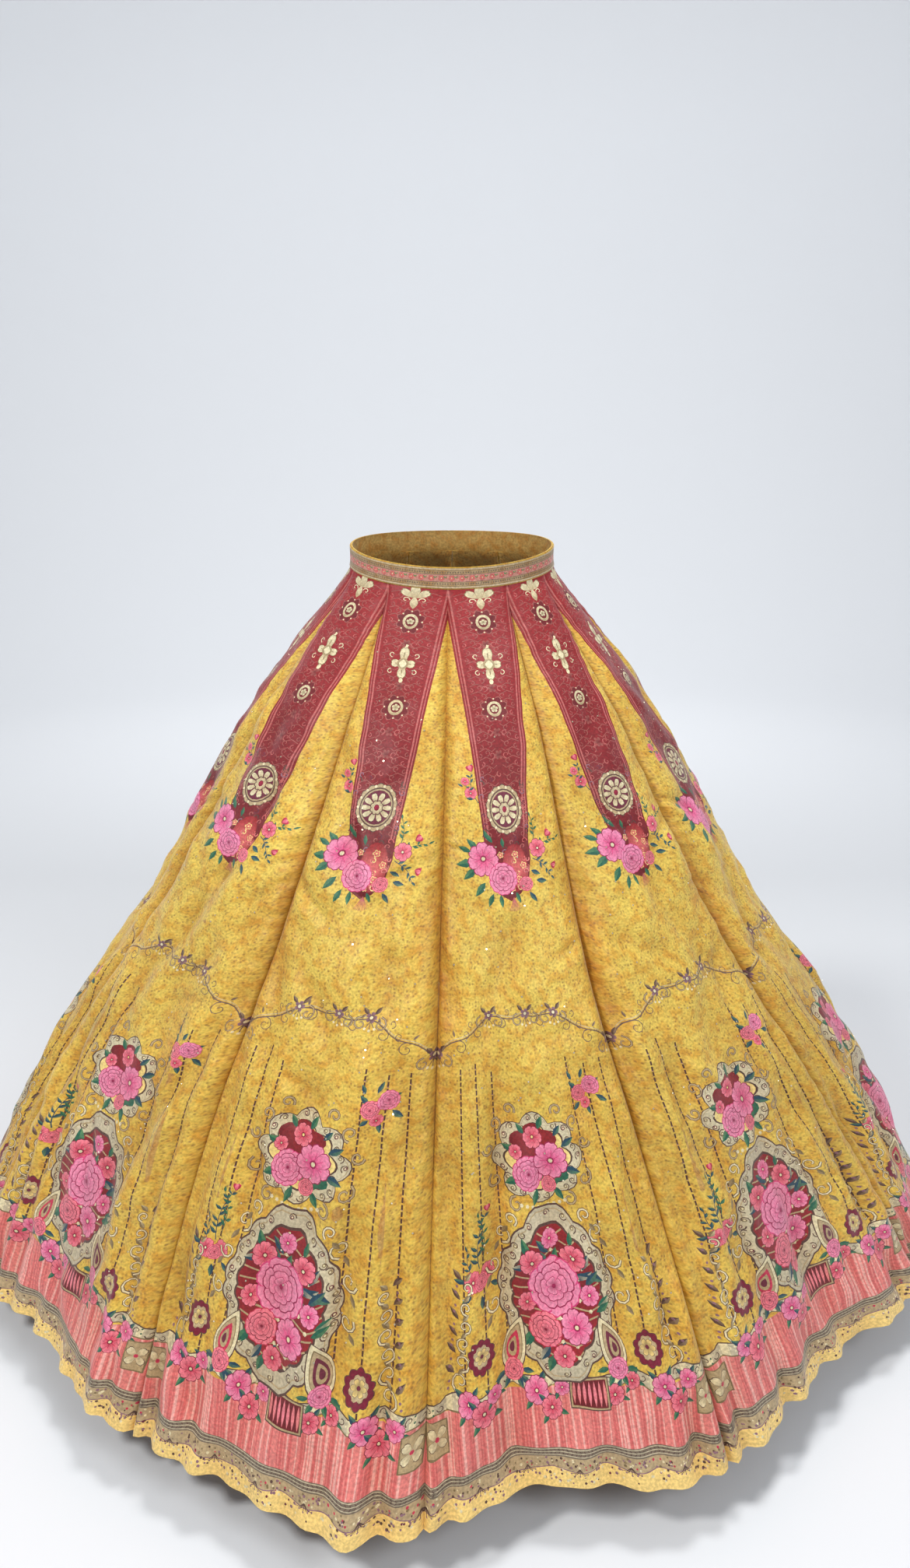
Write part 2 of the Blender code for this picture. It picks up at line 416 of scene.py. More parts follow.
def paisley(x, y, angle, length, width, hand):
    # a drop that starts at its bent tip
    points = []
    for k in range(20):
        t = 2 * math.pi * k / 20
        u = (1 - math.cos(t)) / 2
        v = 0.5 * math.sin(t) * abs(math.sin(t / 2)) ** 0.7 + 0.42 * (1 - u) ** 2
        points.append((u, v * hand))
    return turned(points, x, y, angle, length, width)


petalSide = ((0.0, 0.09), (0.30, 0.34), (0.62, 0.50), (0.86, 0.43), (0.99, 0.20))
leafSide = ((0.22, 0.34), (0.48, 0.50), (0.76, 0.30))


def turned(shape, x, y, angle, length, width):
    c, s = math.cos(angle), math.sin(angle)
    return [(x + length * u * c - width * v * s, y + length * u * s + width * v * c) for u, v in shape]


def petal(x, y, angle, length, width, dark, light, edge=None):
    shape = list(petalSide) + [(0.95, 0.0)] + [(u, -v) for u, v in reversed(petalSide)]
    if edge:
        mark(turned(shape, x, y, angle, length * 1.06, width * 1.10), edge)
    mark(turned(shape, x, y, angle, length, width), dark, light, (x, y), length)


def rose(x, y, radius, tone="pink", turn=0.0):
    light, body, deep = tone + "Light", tone, tone + "Deep"
    rings = ((6, 1.0, 0.95, 0.18), (5, 0.76, 0.80, 0.10), (4, 0.52, 0.62, 0.04), (3, 0.30, 0.42, 0.0))
    for ring, (count, reach, width, start) in enumerate(rings):
        for k in range(count):
            angle = turn + ring * 0.55 + 2 * math.pi * k / count
            sx, sy = x + radius * start * math.cos(angle), y + radius * start * math.sin(angle)
            petal(sx, sy, angle, radius * (reach - start), radius * width, deep if ring % 2 else body,
                  light, deep if ring else body)
    mark(oval(x, y, radius * 0.09, count=6), deep)


def blossom(x, y, radius, tone="pink", petals=6, turn=0.0, heart="cream"):
    light, body, deep = tone + "Light", tone, tone + "Deep"
    for k in range(petals):
        angle = turn + 2 * math.pi * k / petals
        petal(x, y, angle, radius, radius * 5.2 / petals, body, light, deep if turn else body)
        line([(x, y), (x + 0.6 * radius * math.cos(angle), y + 0.6 * radius * math.sin(angle))], 0.8, body)
    mark(oval(x, y, radius * 0.22, count=8), deep)
    mark(oval(x, y, radius * 0.13, count=6), heart)


def bud(x, y, angle, length, tone="rose"):
    petal(x, y, angle - 0.4, length, length * 0.6, tone + "Deep", tone)
    petal(x, y, angle + 0.4, length, length * 0.6, tone + "Deep", tone)
    petal(x, y, angle, length * 0.92, length * 0.55, tone, tone + "Light")


def leaf(x, y, angle, length, width=None, dark="leaf", light="leafLight"):
    width = width or length * 0.42
    upper = [(0, 0)] + list(leafSide) + [(1, 0)]
    lower = [(0, 0), (1, 0)] + [(u, -v) for u, v in reversed(leafSide)]
    mark(turned(upper, x, y, angle, length, width), dark, light, (x, y), length * 1.6)
    mark(turned(lower, x, y, angle, length, width), dark)


def line(points, width, colour, endWidth=None):
    # a drawn line of short quads, tapered from width to endWidth
    endWidth = width if endWidth is None else endWidth
    sides = []
    for k, (x, y) in enumerate(points):
        before, after = points[max(k - 1, 0)], points[min(k + 1, len(points) - 1)]
        dx, dy = after[0] - before[0], after[1] - before[1]
        size = math.hypot(dx, dy) or 1.0
        half = (width + (endWidth - width) * k / (len(points) - 1)) / 2
        sx, sy = dy / size * half, dx / size * half
        sides.append(((x - sx, y + sy), (x + sx, y - sy)))
    for (a, b), (c, d) in zip(sides, sides[1:]):
        mark([a, c, d, b], colour)


def arc(x, y, radius, start, end, steps=8, shrink=1.0):
    points = []
    for k in range(steps + 1):
        a = math.radians(start + (end - start) * k / steps)
        r = radius * (1 + (shrink - 1) * k / steps)
        points.append((x + r * math.cos(a), y + r * math.sin(a)))
    return points


def curl(x, y, radius, start, hand, colour, width=0.9, sweep=400, steps=11):
    line(arc(x, y, radius, start, start + hand * sweep, steps, 0.22), width, colour, width * 0.6)


def edgedCurl(x, y, radius, start, hand, colour, width, edgeWidth, sweep=400, steps=11):
    curl(x, y, radius, start, hand, "umber", edgeWidth, sweep, steps)
    curl(x, y, radius, start, hand, colour, width, sweep, steps)


def box(x0, y0, x1, y1):
    return [(x0, y0), (x1, y0), (x1, y1), (x0, y1)]


def dots(points, radius, colour):
    for x, y in points:
        mark(oval(x, y, radius, count=5), colour)


def sprig(x, y, angle, length, leaves, leafLength, colour="leafBlue", bend=0.0):
    # a stem with pairs of leaves; returns its tip
    steps = leaves + 1
    points = []
    for k in range(steps + 1):
        t = k / steps
        a = angle + bend * t
        points.append((x + length * t * math.cos(a), y + length * t * math.sin(a)))
    line(points, 1.0, colour, 0.5)
    for k, (px, py) in enumerate(points[1:-1]):
        a = angle + bend * (k + 1) / steps
        side = 0.85 if k % 2 else -0.85
        size = leafLength * (1 - 0.35 * k / steps)
        leaf(px, py, a + side, size, dark=colour)
        if k % 3 == 1:
            leaf(px, py, a - side, size * 0.8, dark=colour)
    leaf(points[-1][0], points[-1][1], angle + bend, leafLength * 0.8, dark=colour)
    return points[-1]


def mirrored(draw):
    draw(1)
    draw(-1)


# The red strip down the top of each kali
strip = {
    "half": ((-20, 38), (120, 39), (230, 37), (300, 34), (352, 31)),
    "tip": 428,
    "fleur": 10, "firstRing": 50, "cross": 114, "secondRing": 180, "medallion": 314,
    "palmettes": (84, 149, 213, 244),
    "gilt": ((10, 372, 5), (20, 385, 4.5), (2, 392, 5), (13, 402, 4.5), (-10, 372, 4.5), (4, 414, 4)),
}


def stripOutline():
    right = [(half, y) for y, half in strip["half"]] + [(31, 378), (26, 402), (15, 420)]
    return right + [(0, strip["tip"])] + [(-x, y) for x, y in reversed(right)]


def drawStrip():
    luck = random.Random(12)
    mark(stripOutline(), "red", "redDeep", (0, 0), 420)
    for inset, width in ((3.0, 1.3), (6.6, 2.0)):
        def edge(side, inset=inset, width=width):
            line([(side * (half - inset), y) for y, half in strip["half"]], width, "redLine")
        mirrored(edge)
    # fine scrolls over the red field, denser and more mottled towards the rounded end
    for k in range(30):
        y = 12 + k * 11.4

        def scrolls(side, y=y, k=k):
            near, far = (12, 23) if k % 2 else (16, 26)
            curl(side * near, y, 4.4, 90, side, "filigree", 1.1, 340, 8)
            curl(side * far, y + 4, 3.4, -90, -side, "redLine" if k % 3 == 0 else "filigree", 1.0, 320, 7)
            stem = [(side * 4, y - 5), (side * 9, y - 1), (side * 18, y - 6), (side * 27, y - 2)]
            line(stem, 0.9, "filigree")
        mirrored(scrolls)
    for k in range(44):
        x, y = luck.uniform(-26, 26), 270 + k * 3.4
        if abs(y - strip["medallion"]) < 36:
            x = math.copysign(28.5, x)
        radius, start, hand = luck.uniform(3.0, 4.8), luck.uniform(0, 360), luck.choice((-1, 1))
        colour = luck.choice(("umber", "filigree", "plum", "redLine", "mauve"))
        curl(x * min(1.0, (448 - y) / 60), y, radius, start, hand, colour, 1.5, 300, 7)
    # fleur under the waistband
    y = strip["fleur"]
    mirrored(lambda side: petal(0, y + 4, -math.pi / 2 + side * 1.0, 17, 9, "creamShade", "cream", "olive"))
    petal(0, y + 6, -math.pi / 2, 19, 10, "creamShade", "cream", "olive")
    mark(ogee(0, y + 12, 4.5, 9, 6), "cream", "creamShade", (0, y + 8), 10)
    mirrored(lambda side: curl(side * 9, y + 8, 4.5, 180 if side > 0 else 0, side, "cream", 1.3, 300, 8))
    # oval rings
    for y, rx, ry in ((strip["firstRing"], 8.5, 11.5), (strip["secondRing"], 9.5, 11.0)):
        mark(lobed(0, y, rx * 2.0, ry * 1.75, 8, 0.30, 4), "filigree")
        mark(lobed(0, y, rx * 1.86, ry * 1.63, 8, 0.30, 4), "redDeep")
        mark(oval(0, y, rx, ry, 16), "cream", "creamShade", (0, y - 4), ry * 1.4)
        mark(oval(0, y, rx * 0.66, ry * 0.68, 14), "redDeep")
        for k in range(5):
            petal(0, y, k * 1.2566 - 1.57, rx * 0.52, rx * 0.40, "olive", "cream")
        beads = [(rx * 1.5 * math.cos(a), y + ry * 1.35 * math.sin(a)) for a in np.arange(0, 6.2, 0.785)]
        dots(beads, 1.1, "cream")
    # four-lobed cream motif
    y = strip["cross"]
    for angle, length, width in ((-1.571, 24, 11), (1.571, 22, 10), (0.01, 14, 11), (3.13, 14, 11)):
        petal(0, y, angle, length, width, "creamShade", "cream", "olive")
        line([(0, y), (0.7 * length * math.cos(angle), y + 0.7 * length * math.sin(angle))], 1.1, "olive")
    mark(ogee(0, y, 7.5, 10, 6), "olive", "creamShade", (0, y), 9)
    mark(ogee(0, y, 4.5, 6.5, 6), "cream")
    mirrored(lambda side: curl(side * 14, y + 13, 4.5, -90, side, "cream", 1.2, 280, 7))
    mirrored(lambda side: curl(side * 14, y - 13, 4.5, 90, -side, "cream", 1.2, 280, 7))
    mark(oval(0, y + 26, 2.6, 4.0, 7), "cream")
    mark(oval(0, y - 28, 3.4, 4.4, 7), "cream")
    # small palmettes between the upper motifs and the medallion
    for y in strip["palmettes"]:
        for k in range(6):
            petal(0, y, k * 1.0472, 6.5, 3.6, "redDeep", "filigree")
        mirrored(lambda side, y=y: curl(side * 10, y, 5, 90, side, "redLine", 1.1, 320, 8))
    # large round medallion
    y = strip["medallion"]
    mark(lobed(0, y, 25.5, 32, 14, 0.10, 4), "umber")
    mark(lobed(0, y, 24.5, 30.8, 14, 0.10, 4), "creamShade", "beige", (0, y), 28)
    mark(oval(0, y, 20.5, 26, 20), "umber")
    for k in range(14):
        a = k * 6.2832 / 14
        mark(oval(22.4 * math.cos(a), y + 28 * math.sin(a), 1.7, 2.0, 6), "cream")
    mark(oval(0, y, 19.0, 24.2, 20), "creamShade", "beige", (0, y), 24)
    mark(oval(0, y, 17.4, 22.4, 20), "plum")
    for k in range(10):
        a = k * 0.62832
        petal(5 * math.cos(a), y + 6 * math.sin(a), a, 13, 6.4, "creamShade", "cream", "umber")
    mark(lobed(0, y, 8.5, 10.5, 8, 0.2, 3), "umber")
    mark(lobed(0, y, 7.3, 9.2, 8, 0.2, 3), "cream", "beige", (0, y), 9)
    mark(oval(0, y, 3.2, 4.4, 8), "rose", "roseDeep", (0, y), 4)
    # gold and coral ornaments in the rounded end
    mark(oval(9, 388, 17, 30, 16), "coralDeep", "red", (9, 388), 26)
    for k in range(26):
        x, y = luck.uniform(2, 27), luck.uniform(354, 418)
        radius, start, hand = luck.uniform(3, 5), luck.uniform(0, 360), luck.choice((-1, 1))
        colour = luck.choice(("coral", "gold", "redLine", "coralDeep"))
        curl(x * (1 - max(0, y - 385) / 80), y, radius, start, hand, colour, 1.4, 300, 7)
    for x, y, size in strip["gilt"]:
        mark(lobed(x, y, size, size, 5, 0.35, 3), "gold")
        mark(lobed(x, y, size * 0.78, size * 0.78, 5, 0.35, 3), "coralDeep")
        mark(oval(x, y, size * 0.25, count=5), "gold")


# Leaves round the bouquet on the strip's end: x, y, angle, length
bouquet = {
    "sideLeaves": ((-40, 300, 3.3, 10), (-52, 283, 3.6, 8), (-38, 284, 2.6, 8)),
    "backLeaves": (
        (-46, 378, 3.0, 26), (-44, 386, 2.5, 24), (-34, 404, 2.3, 22), (-24, 418, 2.0, 18),
        (-40, 364, 3.9, 20), (-20, 356, -2.2, 16), (-6, 362, -1.7, 13),
    ),
    "frontLeaves": (
        (8, 418, 1.2, 14), (30, 392, 0.4, 14), (-50, 366, 3.5, 18), (-14, 420, 1.5, 15),
        (26, 418, 0.9, 15), (36, 404, 0.1, 15), (-26, 352, -1.9, 14),
    ),
}


def drawBouquet():
    # sprays at the strip's edges, then the two large flowers on its end
    tip = sprig(-34, 305, -2.2, 42, 5, 9, "leafBlue", 0.5)
    blossom(-43, 292, 8, "rose", 5)
    bud(tip[0], tip[1], -1.9, 9)
    blossom(-49, 276, 5.5, "rose", 5, 0.4)
    for x, y, angle, length in bouquet["sideLeaves"]:
        leaf(x, y, angle, length, dark="leafBlue")
    for x, y, angle, length in bouquet["backLeaves"]:
        leaf(x, y, angle, length)
    sprig(34, 372, -0.9, 40, 6, 9, "leaf", 0.5)
    sprig(34, 378, 0.35, 34, 5, 9, "leafBlue", 0.4)
    sprig(38, 356, -1.3, 30, 4, 8, "leaf", -0.4)
    blossom(42, 366, 11, "rose", 6, 0.3)
    bud(55, 352, -0.7, 9)
    bud(60, 388, 0.3, 8)
    blossom(-34, 376, 21, "pink", 7, 0.2)
    rose(-9, 401, 19, "pink", 0.5)
    rose(22, 408, 9, "rose", 0.1)
    for x, y, angle, length in bouquet["frontLeaves"]:
        leaf(x, y, angle, length, dark="leaf" if x < 20 else "leafBlue")
    for k in range(9):  # small hanging spray under the end
        a = 1.1 + 0.12 * k
        line([(4, 424), (4 + 16 * math.cos(a), 424 + 16 * math.sin(a))], 0.6, "redLine")


# The garland that swings from seam to seam at mid height
garland = {
    "high": 560,
    "low": 606,
    "curls": ((-88, 9, 1), (-62, 7, -1), (-30, 7, 1), (24, 7, -1), (58, 8, 1), (86, 9, -1)),  # x, size, hand
}


def garlandY(x, half):
    share = abs(x) / half
    sway = 3.5 * math.sin(share * 13)
    return garland["high"] + (garland["low"] - garland["high"]) * share ** 2.2 + sway


def drawGarland():
    half = float(halfAt(0.58)) * 1000 + 4
    count = 34
    points = [(-half + 2 * half * k / count, 0) for k in range(count + 1)]
    points = [(x, garlandY(x, half)) for x, _ in points]
    line(points, 1.5, "scroll")
    line([(x, y - 2.6) for x, y in points], 0.7, "braidLight")
    for x, size, hand in garland["curls"]:
        y = garlandY(x, half)
        curl(x, y + size, size, -90, hand, "scroll", 1.2)
        curl(x + hand * 9, y - 6, size * 0.6, 90, -hand, "scroll", 1.0, 330, 8)
        leaf(x - hand * 6, y - 3, -1.2 - hand * 0.5, 8, 3, "scroll", "creamShade")
    for x in (-half + 3, -46, 4, 42, half - 3):
        y = garlandY(x, half) - 2
        for hand in (-1, 1):
            edgedCurl(x + hand * 11, y + 7, 8, -90, hand, "creamShade", 1.2, 2.4, 380, 10)
            leaf(x + hand * 3, y - 3, -1.571 + hand * 0.7, 11, 5, "umber", "creamShade")
        for k in range(5):
            petal(x, y, k * 1.2566, 6.2, 4.6, "umber", "mauve")
        mark(oval(x, y, 2.0, count=6), "cream")
        for a in (2.2, 1.571, 0.9):
            line([(x, y + 4), (x + 8 * math.cos(a), y + 4 + 9 * math.sin(a))], 0.9, "scroll")
            mark(oval(x + 9 * math.cos(a), y + 4 + 10 * math.sin(a), 1.6, count=6), "cream")


stitches = {"dash": 5.4, "pitch": 7.4, "width": 2.0}


def drawStitchLines():
    start, end = folds["stitchFrom"] * 1000, folds["stitchTo"] * 1000
    dash, pitch = stitches["dash"], stitches["pitch"]
    luck = random.Random(7)
    for row, across in enumerate(folds["stitchLines"]):
        y = start + luck.uniform(0, 22)
        while y < end:
            x0 = across * float(halfAt(y / 1000)) * 1000
            x1 = across * float(halfAt((y + dash) / 1000)) * 1000
            line([(x0, y), (x1, y + dash)], stitches["width"], "thread")
            if int(y / pitch + row) % 3 == 0:
                line([(x0 - 1.3, y - 2.2), (x0 + 1.3, y - 1.0)], 0.8, "mauve")
            y += pitch


sideSprigs = {
    "highLeaves": (
        (60, 652, -2.4, 15), (66, 640, -1.2, 13), (78, 648, -0.5, 15), (84, 660, 0.5, 15),
        (62, 668, 2.3, 13), (72, 672, 1.3, 13), (54, 640, -2.0, 12),
    ),
    "lowLeaves": ((-104, 858, 2.6), (-80, 858, 0.5), (-92, 864, 1.6), (-110, 846, 3.4)),
}


def drawSideSprigs():
    # a small pair of roses high on the right of the kali, a taller spray low on its left
    for x, y, angle, length in sideSprigs["highLeaves"]:
        leaf(x, y, angle, length, dark="leafBlue")
    rose(62, 657, 10, "rose", 0.3)
    rose(79, 649, 11, "pink", 1.0)
    blossom(70, 670, 6.5, "rose", 5)
    tip = sprig(-92, 838, -1.75, 62, 8, 11, "leafBlue", 0.45)
    sprig(-86, 828, -1.25, 46, 6, 9, "leaf", -0.35)
    sprig(-98, 846, -2.3, 30, 4, 9, "leafBlue", 0.5)
    bud(tip[0], tip[1], -1.5, 8)
    for x, y, angle in sideSprigs["lowLeaves"]:
        leaf(x, y, angle, 14, dark="leafBlue")
    blossom(-101, 847, 10, "rose", 6)
    blossom(-82, 845, 9, "rose", 5, 0.5)
    rose(-91, 851, 8, "rose", 0.8)


# The two medallions low on each kali, placed from their own middles
medallions = {
    "upper": {
        "middle": (-4, 724), "half": (59, 52), "band": 0.30, "loops": 22,
        "scrolls": (  # x, y, size, start
            (50, -38, 9, 90), (62, -12, 8, 0), (56, 26, 10, -60), (34, 50, 9, -90), (30, -54, 8, 150),
        ),
        "leaves": (  # x, y, angle, length
            (-26, 18, 2.6, 22), (30, 12, 0.3, 22), (16, 34, 1.0, 20), (-6, 34, 1.9, 20), (30, -12, -0.5, 20),
            (-26, -8, 3.5, 20), (4, -30, -1.2, 18), (-14, -26, -2.2, 16), (22, -24, -0.9, 16),
        ),
    },
    "lower": {
        "middle": (-2, 872), "half": (70, 96), "band": 0.25, "loops": 34,
        "trellisRows": 12, "looseLeaves": 26,
        "scrolls": ((58, -62, 11, 90), (72, -30, 10, 0), (76, 8, 10, -40), (46, -82, 8, 120)),
        "blossoms": (  # x, y, radius, tone
            (-26, -34, 15, "rose"), (24, -36, 14, "rose"), (-36, 10, 11, "rose"), (38, 4, 11, "pink"),
            (0, -56, 11, "pink"),
        ),
    },
}
# Nested drops of each paisley: where it starts, length, colour left and right
paisleyDrops = (
    (898, 58, "umber", "umber"), (900, 54, "cream", "cream"), (906, 43, "olive", "olive"),
    (908, 40, "beige", "beige"), (914, 30, "rose", "plum"), (920, 20, "creamShade", "creamShade"),
    (925, 11, "plum", "plum"),
)


def laceFrame(outline, x, y, band, loops):
    # cream lace edge round a shape: dark rim, cream band with loops, and its inner field
    def scaled(size):
        return [(x + (px - x) * size, y + (py - y) * size) for px, py in outline]
    mark(scaled(1.0), "umber")
    mark(scaled(0.975), "cream", "braidLight", (x, y), 70)
    mark(scaled(0.935), "creamShade")
    mark(scaled(0.92), "cream", "braidLight", (x, y), 80)
    count = len(outline)
    for k in range(loops):
        px, py = outline[int(k * count / loops) % count]
        qx, qy = x + (px - x) * (1 - band * 0.42), y + (py - y) * (1 - band * 0.42)
        curl(qx, qy, 5.2, 40 * k, 1 if k % 2 else -1, "umber", 1.3, 330, 8)
        mark(oval(qx, qy, 2.2, count=7), "olive" if k % 3 else "plum")
        mark(oval(qx, qy, 1.2, count=6), "cream")
    mark(scaled(1 - band * 0.86), "umber")
    return scaled(1 - band)


def drawUpperMedallion():
    # lobed and lace-edged, with a few roses
    sizes = medallions["upper"]
    (x0, y0), (wide, high) = sizes["middle"], sizes["half"]
    for side in (-1, 1):  # scrolls that spring from the frame
        for x, y, size, start in sizes["scrolls"]:
            start = start if side > 0 else 180 - start
            edgedCurl(x0 + side * x, y0 + y, size, start, side, "creamShade", 2.0, 3.4)
    inner = laceFrame(lobed(x0, y0, wide, high, 8, 0.20, 6, 0.39), x0, y0, sizes["band"], sizes["loops"])
    mark(inner, "silk", "gold", (x0, y0), 44)
    mark(lobed(x0 - 4, y0 - 14, 33, 24, 6, 0.2, 4), "red", "redDeep", (x0, y0 - 22), 38)
    mark(lobed(x0 + 14, y0 + 16, 24, 18, 6, 0.2, 4), "leafLight", "leaf", (x0, y0 + 8), 34)
    for x, y, angle, length in sizes["leaves"]:
        leaf(x0 + x, y0 + y, angle, length, dark="leaf" if x < 20 else "leafBlue")
    rose(x0 - 15, y0 + 16, 19, "pink", 0.2)
    blossom(x0 + 15, y0 + 4, 21, "pink", 7, 0.4)
    blossom(x0 - 4, y0 - 22, 12, "rose", 6, 0.1, "gold")
    blossom(x0 - 28, y0 - 8, 8, "rose", 5, 0.3)
    rose(x0 + 10, y0 + 32, 9, "rose", 0.3)
    dots([(x0 + 7 * k, y0 + 57 - abs(k) * 1.5) for k in range(-4, 5)], 2.4, "cream")


def drawLowerMedallion():
    # pointed and lace-edged, full of roses over a cream trellis
    luck = random.Random(5)
    sizes = medallions["lower"]
    (x0, y0), (wide, high) = sizes["middle"], sizes["half"]
    for side in (-1, 1):
        for x, y, size, start in sizes["scrolls"]:
            start = start if side > 0 else 180 - start
            edgedCurl(x0 + side * x, y0 + y, size, start, side, "cream", 2.0, 3.6)
            leaf(x0 + side * (x + 4), y0 + y + 9, 1.571 - side * 0.6, 13, 5.5, "olive", "creamShade")
    rim = scalloped(ogee(x0, y0, wide - 3, high - 3, 40, 0.62), x0, y0, 16, 0.07)
    inner = laceFrame(rim, x0, y0, sizes["band"], sizes["loops"])
    mark(inner, "redDeep", "red", (x0, y0 - 14), 80)
    for row in range(sizes["trellisRows"]):
        y = y0 - 66 + row * 11.5
        if abs(y - y0) >= 0.74 * high:
            continue
        half = 0.74 * wide * (1 - abs((y - y0) / (0.76 * high)) ** 1.6) ** 0.62
        if half > 8:
            shift = half / 4 if row % 2 else 0
            left, middle, right = x0 - half / 2 + shift, x0 + shift, x0 + half / 2 + shift
            wave = [(x0 - half, y), (left, y + 6), (middle, y), (right, y + 6), (x0 + half, y)]
            line(wave, 1.8, "creamShade")
            dots([(left, y + 6), (right, y + 6), (middle, y)], 2.4, "cream")
    for k in range(sizes["looseLeaves"]):
        a, r = luck.uniform(0, 6.28), luck.uniform(0.25, 0.70)
        tilt, length = a + luck.uniform(-0.9, 0.9), luck.uniform(15, 24)
        dark, light = luck.choice(("leaf", "leafBlue", "leaf")), luck.choice(("leafLight", "cream"))
        leaf(x0 + wide * r * math.cos(a), y0 + high * r * math.sin(a), tilt, length, dark=dark, light=light)
    for x, y, size, tone in sizes["blossoms"]:
        blossom(x0 + x, y0 + y, size, tone, 6, 0.1 * size)
    rose(x0 - 2, y0 - 6, 30, "pink", 0.35)
    rose(x0 - 18, y0 + 38, 18, "rose", 0.9)
    blossom(x0 + 18, y0 + 36, 18, "pink", 7, 0.1)
    blossom(x0, y0 + 64, 12, "rose", 6)


def drawPaisleys():
    # cream paisleys that flank the lower medallion's foot
    for side in (-1, 1):
        x = medallions["lower"]["middle"][0] + side * 60
        for down, length, left, right in paisleyDrops:
            mark(paisley(x, down, 1.571, length, length * 0.62, side), right if side > 0 else left)
        for a in (0.3, 1.2, 2.1, 2.9):
            leaf(x + 10 * math.cos(a), 950 + 8 * math.sin(a), a, 15, dark="leaf" if side > 0 else "leafBlue")
        rose(x, 952, 11, "pink" if side > 0 else "rose", 0.4)


def drawSeamSprays():
    # pale gold scrolls that climb beside the seams, and scalloped maroon rosettes
    for side in (-1, 1):
        for k in range(6):
            y = 946 - k * 19
            x = side * (0.80 - 0.012 * k) * float(halfAt(y / 1000)) * 1000
            size = 10.5 - k * 0.9
            edgedCurl(x - side * 4, y, size, 90, side * (1 if k % 2 else -1), "cream", 1.7, 3.2)
            leaf(x + side * 2, y - 8, -1.571 + side * 0.7, 14, 6, "umber", "creamShade")
            leaf(x - side * 2, y - 6, -1.571 - side * 0.8, 11, 5, "olive", "cream")
            dots([(x + side * 8, y - 2), (x + side * 10, y + 4)], 1.6, "mauve")
        x, y = side * 99 - (3 if side > 0 else 0), 930 + 6 * side
        mark(lobed(x, y, 17, 19, 10, 0.16, 4), "umber")
        mark(lobed(x, y, 16, 18, 10, 0.16, 4), "plum", "roseDeep", (x, y), 17)
        mark(lobed(x, y, 10.5, 12, 8, 0.18, 3), "cream", "beige", (x, y), 11)
        for k in range(6):
            petal(x, y, k * 1.0472, 8, 5, "olive", "gold", "umber")
        mark(oval(x, y, 2.2, count=6), "plum")


# The hem's printed bands, as distances from the waistband, and what lies on them
hemBands = {
    "ribbonTop": 958,
    "coralTop": 970,
    "coralEnd": 1031,
    "braidEnd": 1040.5,
    "stripEnd": 1052,
    "ribbonSteps": 56,
    "cords": (1.4, 4.6, 7.8),
    "cordTwist": 4.6,
    "scallop": 57.0,
    "specks": 190,
    "vineDots": 150,
    "sprays": (  # x, y, radius, tone
        (-118, 966, 12, "pink"), (-102, 979, 14, "rose"), (-88, 966, 9, "pink"), (-38, 974, 14, "pink"),
        (-22, 991, 12, "rose"), (-8, 972, 9, "pink"), (50, 978, 11, "rose"), (106, 972, 13, "pink"),
        (122, 989, 12, "rose"), (136, 971, 10, "pink"), (72, 966, 9, "rose"),
    ),
}
hemHalf = float(halfAt(kaliLength)) * 1000 + 6


def level(y0, y1, colour):
    mark(box(-hemHalf, y0, hemHalf, y1), colour)


def drawStripes(luck):
    # coral cloth with uneven woven stripes
    top, end = hemBands["coralTop"], hemBands["coralEnd"]
    level(top, end + 1, "coral")
    x = -hemHalf
    while x < hemHalf:
        width = luck.uniform(0.9, 3.0)
        shade = luck.choice(("coralLight", "coral", "coralDeep", "coralLight", "coralDeep"))
        if shade != "coral":
            mark(box(x, top, x + width, end), shade)
        x += width + luck.uniform(0.5, 2.0)


def drawLaceRibbon(luck):
    # wavy lace ribbon over the stripes' top edge
    count, y0 = hemBands["ribbonSteps"], hemBands["ribbonTop"]
    top = [(-hemHalf + 2 * hemHalf * k / count, y0 + 3.5 * math.sin(k * 0.62) + luck.uniform(-1, 1))
           for k in range(count + 1)]
    low = [(x, y + 13 + 2.5 * math.sin(k * 0.9 + 1)) for k, (x, y) in enumerate(top)]
    for k in range(count):
        mark([top[k], top[k + 1], low[k + 1], low[k]], "braidLight" if k % 3 else "cream")
    line(top, 1.3, "umber")
    line(low, 1.5, "olive")
    for k, (x, y) in enumerate(top[1::2]):
        colour = "umber" if k % 3 else "cream"
        curl(x, y + 6, 4.4, 90 + 40 * (k % 3), 1 if k % 2 else -1, colour, 1.2, 320, 8)
        dots([(x + 5, y + 4), (x + 5, y + 9)], 1.1, "leaf" if k % 4 == 1 else "cream")


def drawHemSprays():
    for x, y, size, tone in hemBands["sprays"]:
        for a in (0.4, 2.2, 3.9, 5.3):
            leaf(x + size * 0.6 * math.cos(a), y + size * 0.6 * math.sin(a), a, size * 1.1,
                 dark="leaf" if a < 3 else "leafBlue")
        blossom(x, y, size, tone, 6, a + size)


def drawPanels():
    # lattice panel at the kali's middle
    x, y, wide, high = 22, 977, 19, 14
    for grown, colour in ((3, "umber"), (1.8, "creamShade"), (0, "redDeep")):
        mark(box(x - wide - grown, y - high - grown, x + wide + grown, y + high + grown), colour)
    for k in range(-3, 4):
        mark(ogee(x + k * 5.6, y, 1.8, high - 1, 6), "roseLight", "coral", (x, y), 24)
    # cream tile with four petals at each seam
    for side in (-1, 1):
        x, y = side * (float(halfAt(0.99)) * 1000 - 12), 993
        mark(box(x - 12, y - 17, x + 12, y + 17), "olive")
        mark(box(x - 10.5, y - 15.5, x + 10.5, y + 15.5), "creamShade")
        for k in range(4):
            petal(x, y, k * 1.571 + 0.785, 12, 8, "beige", "cream", "umber")
        mark(oval(x, y, 2.4, count=6), "rose")


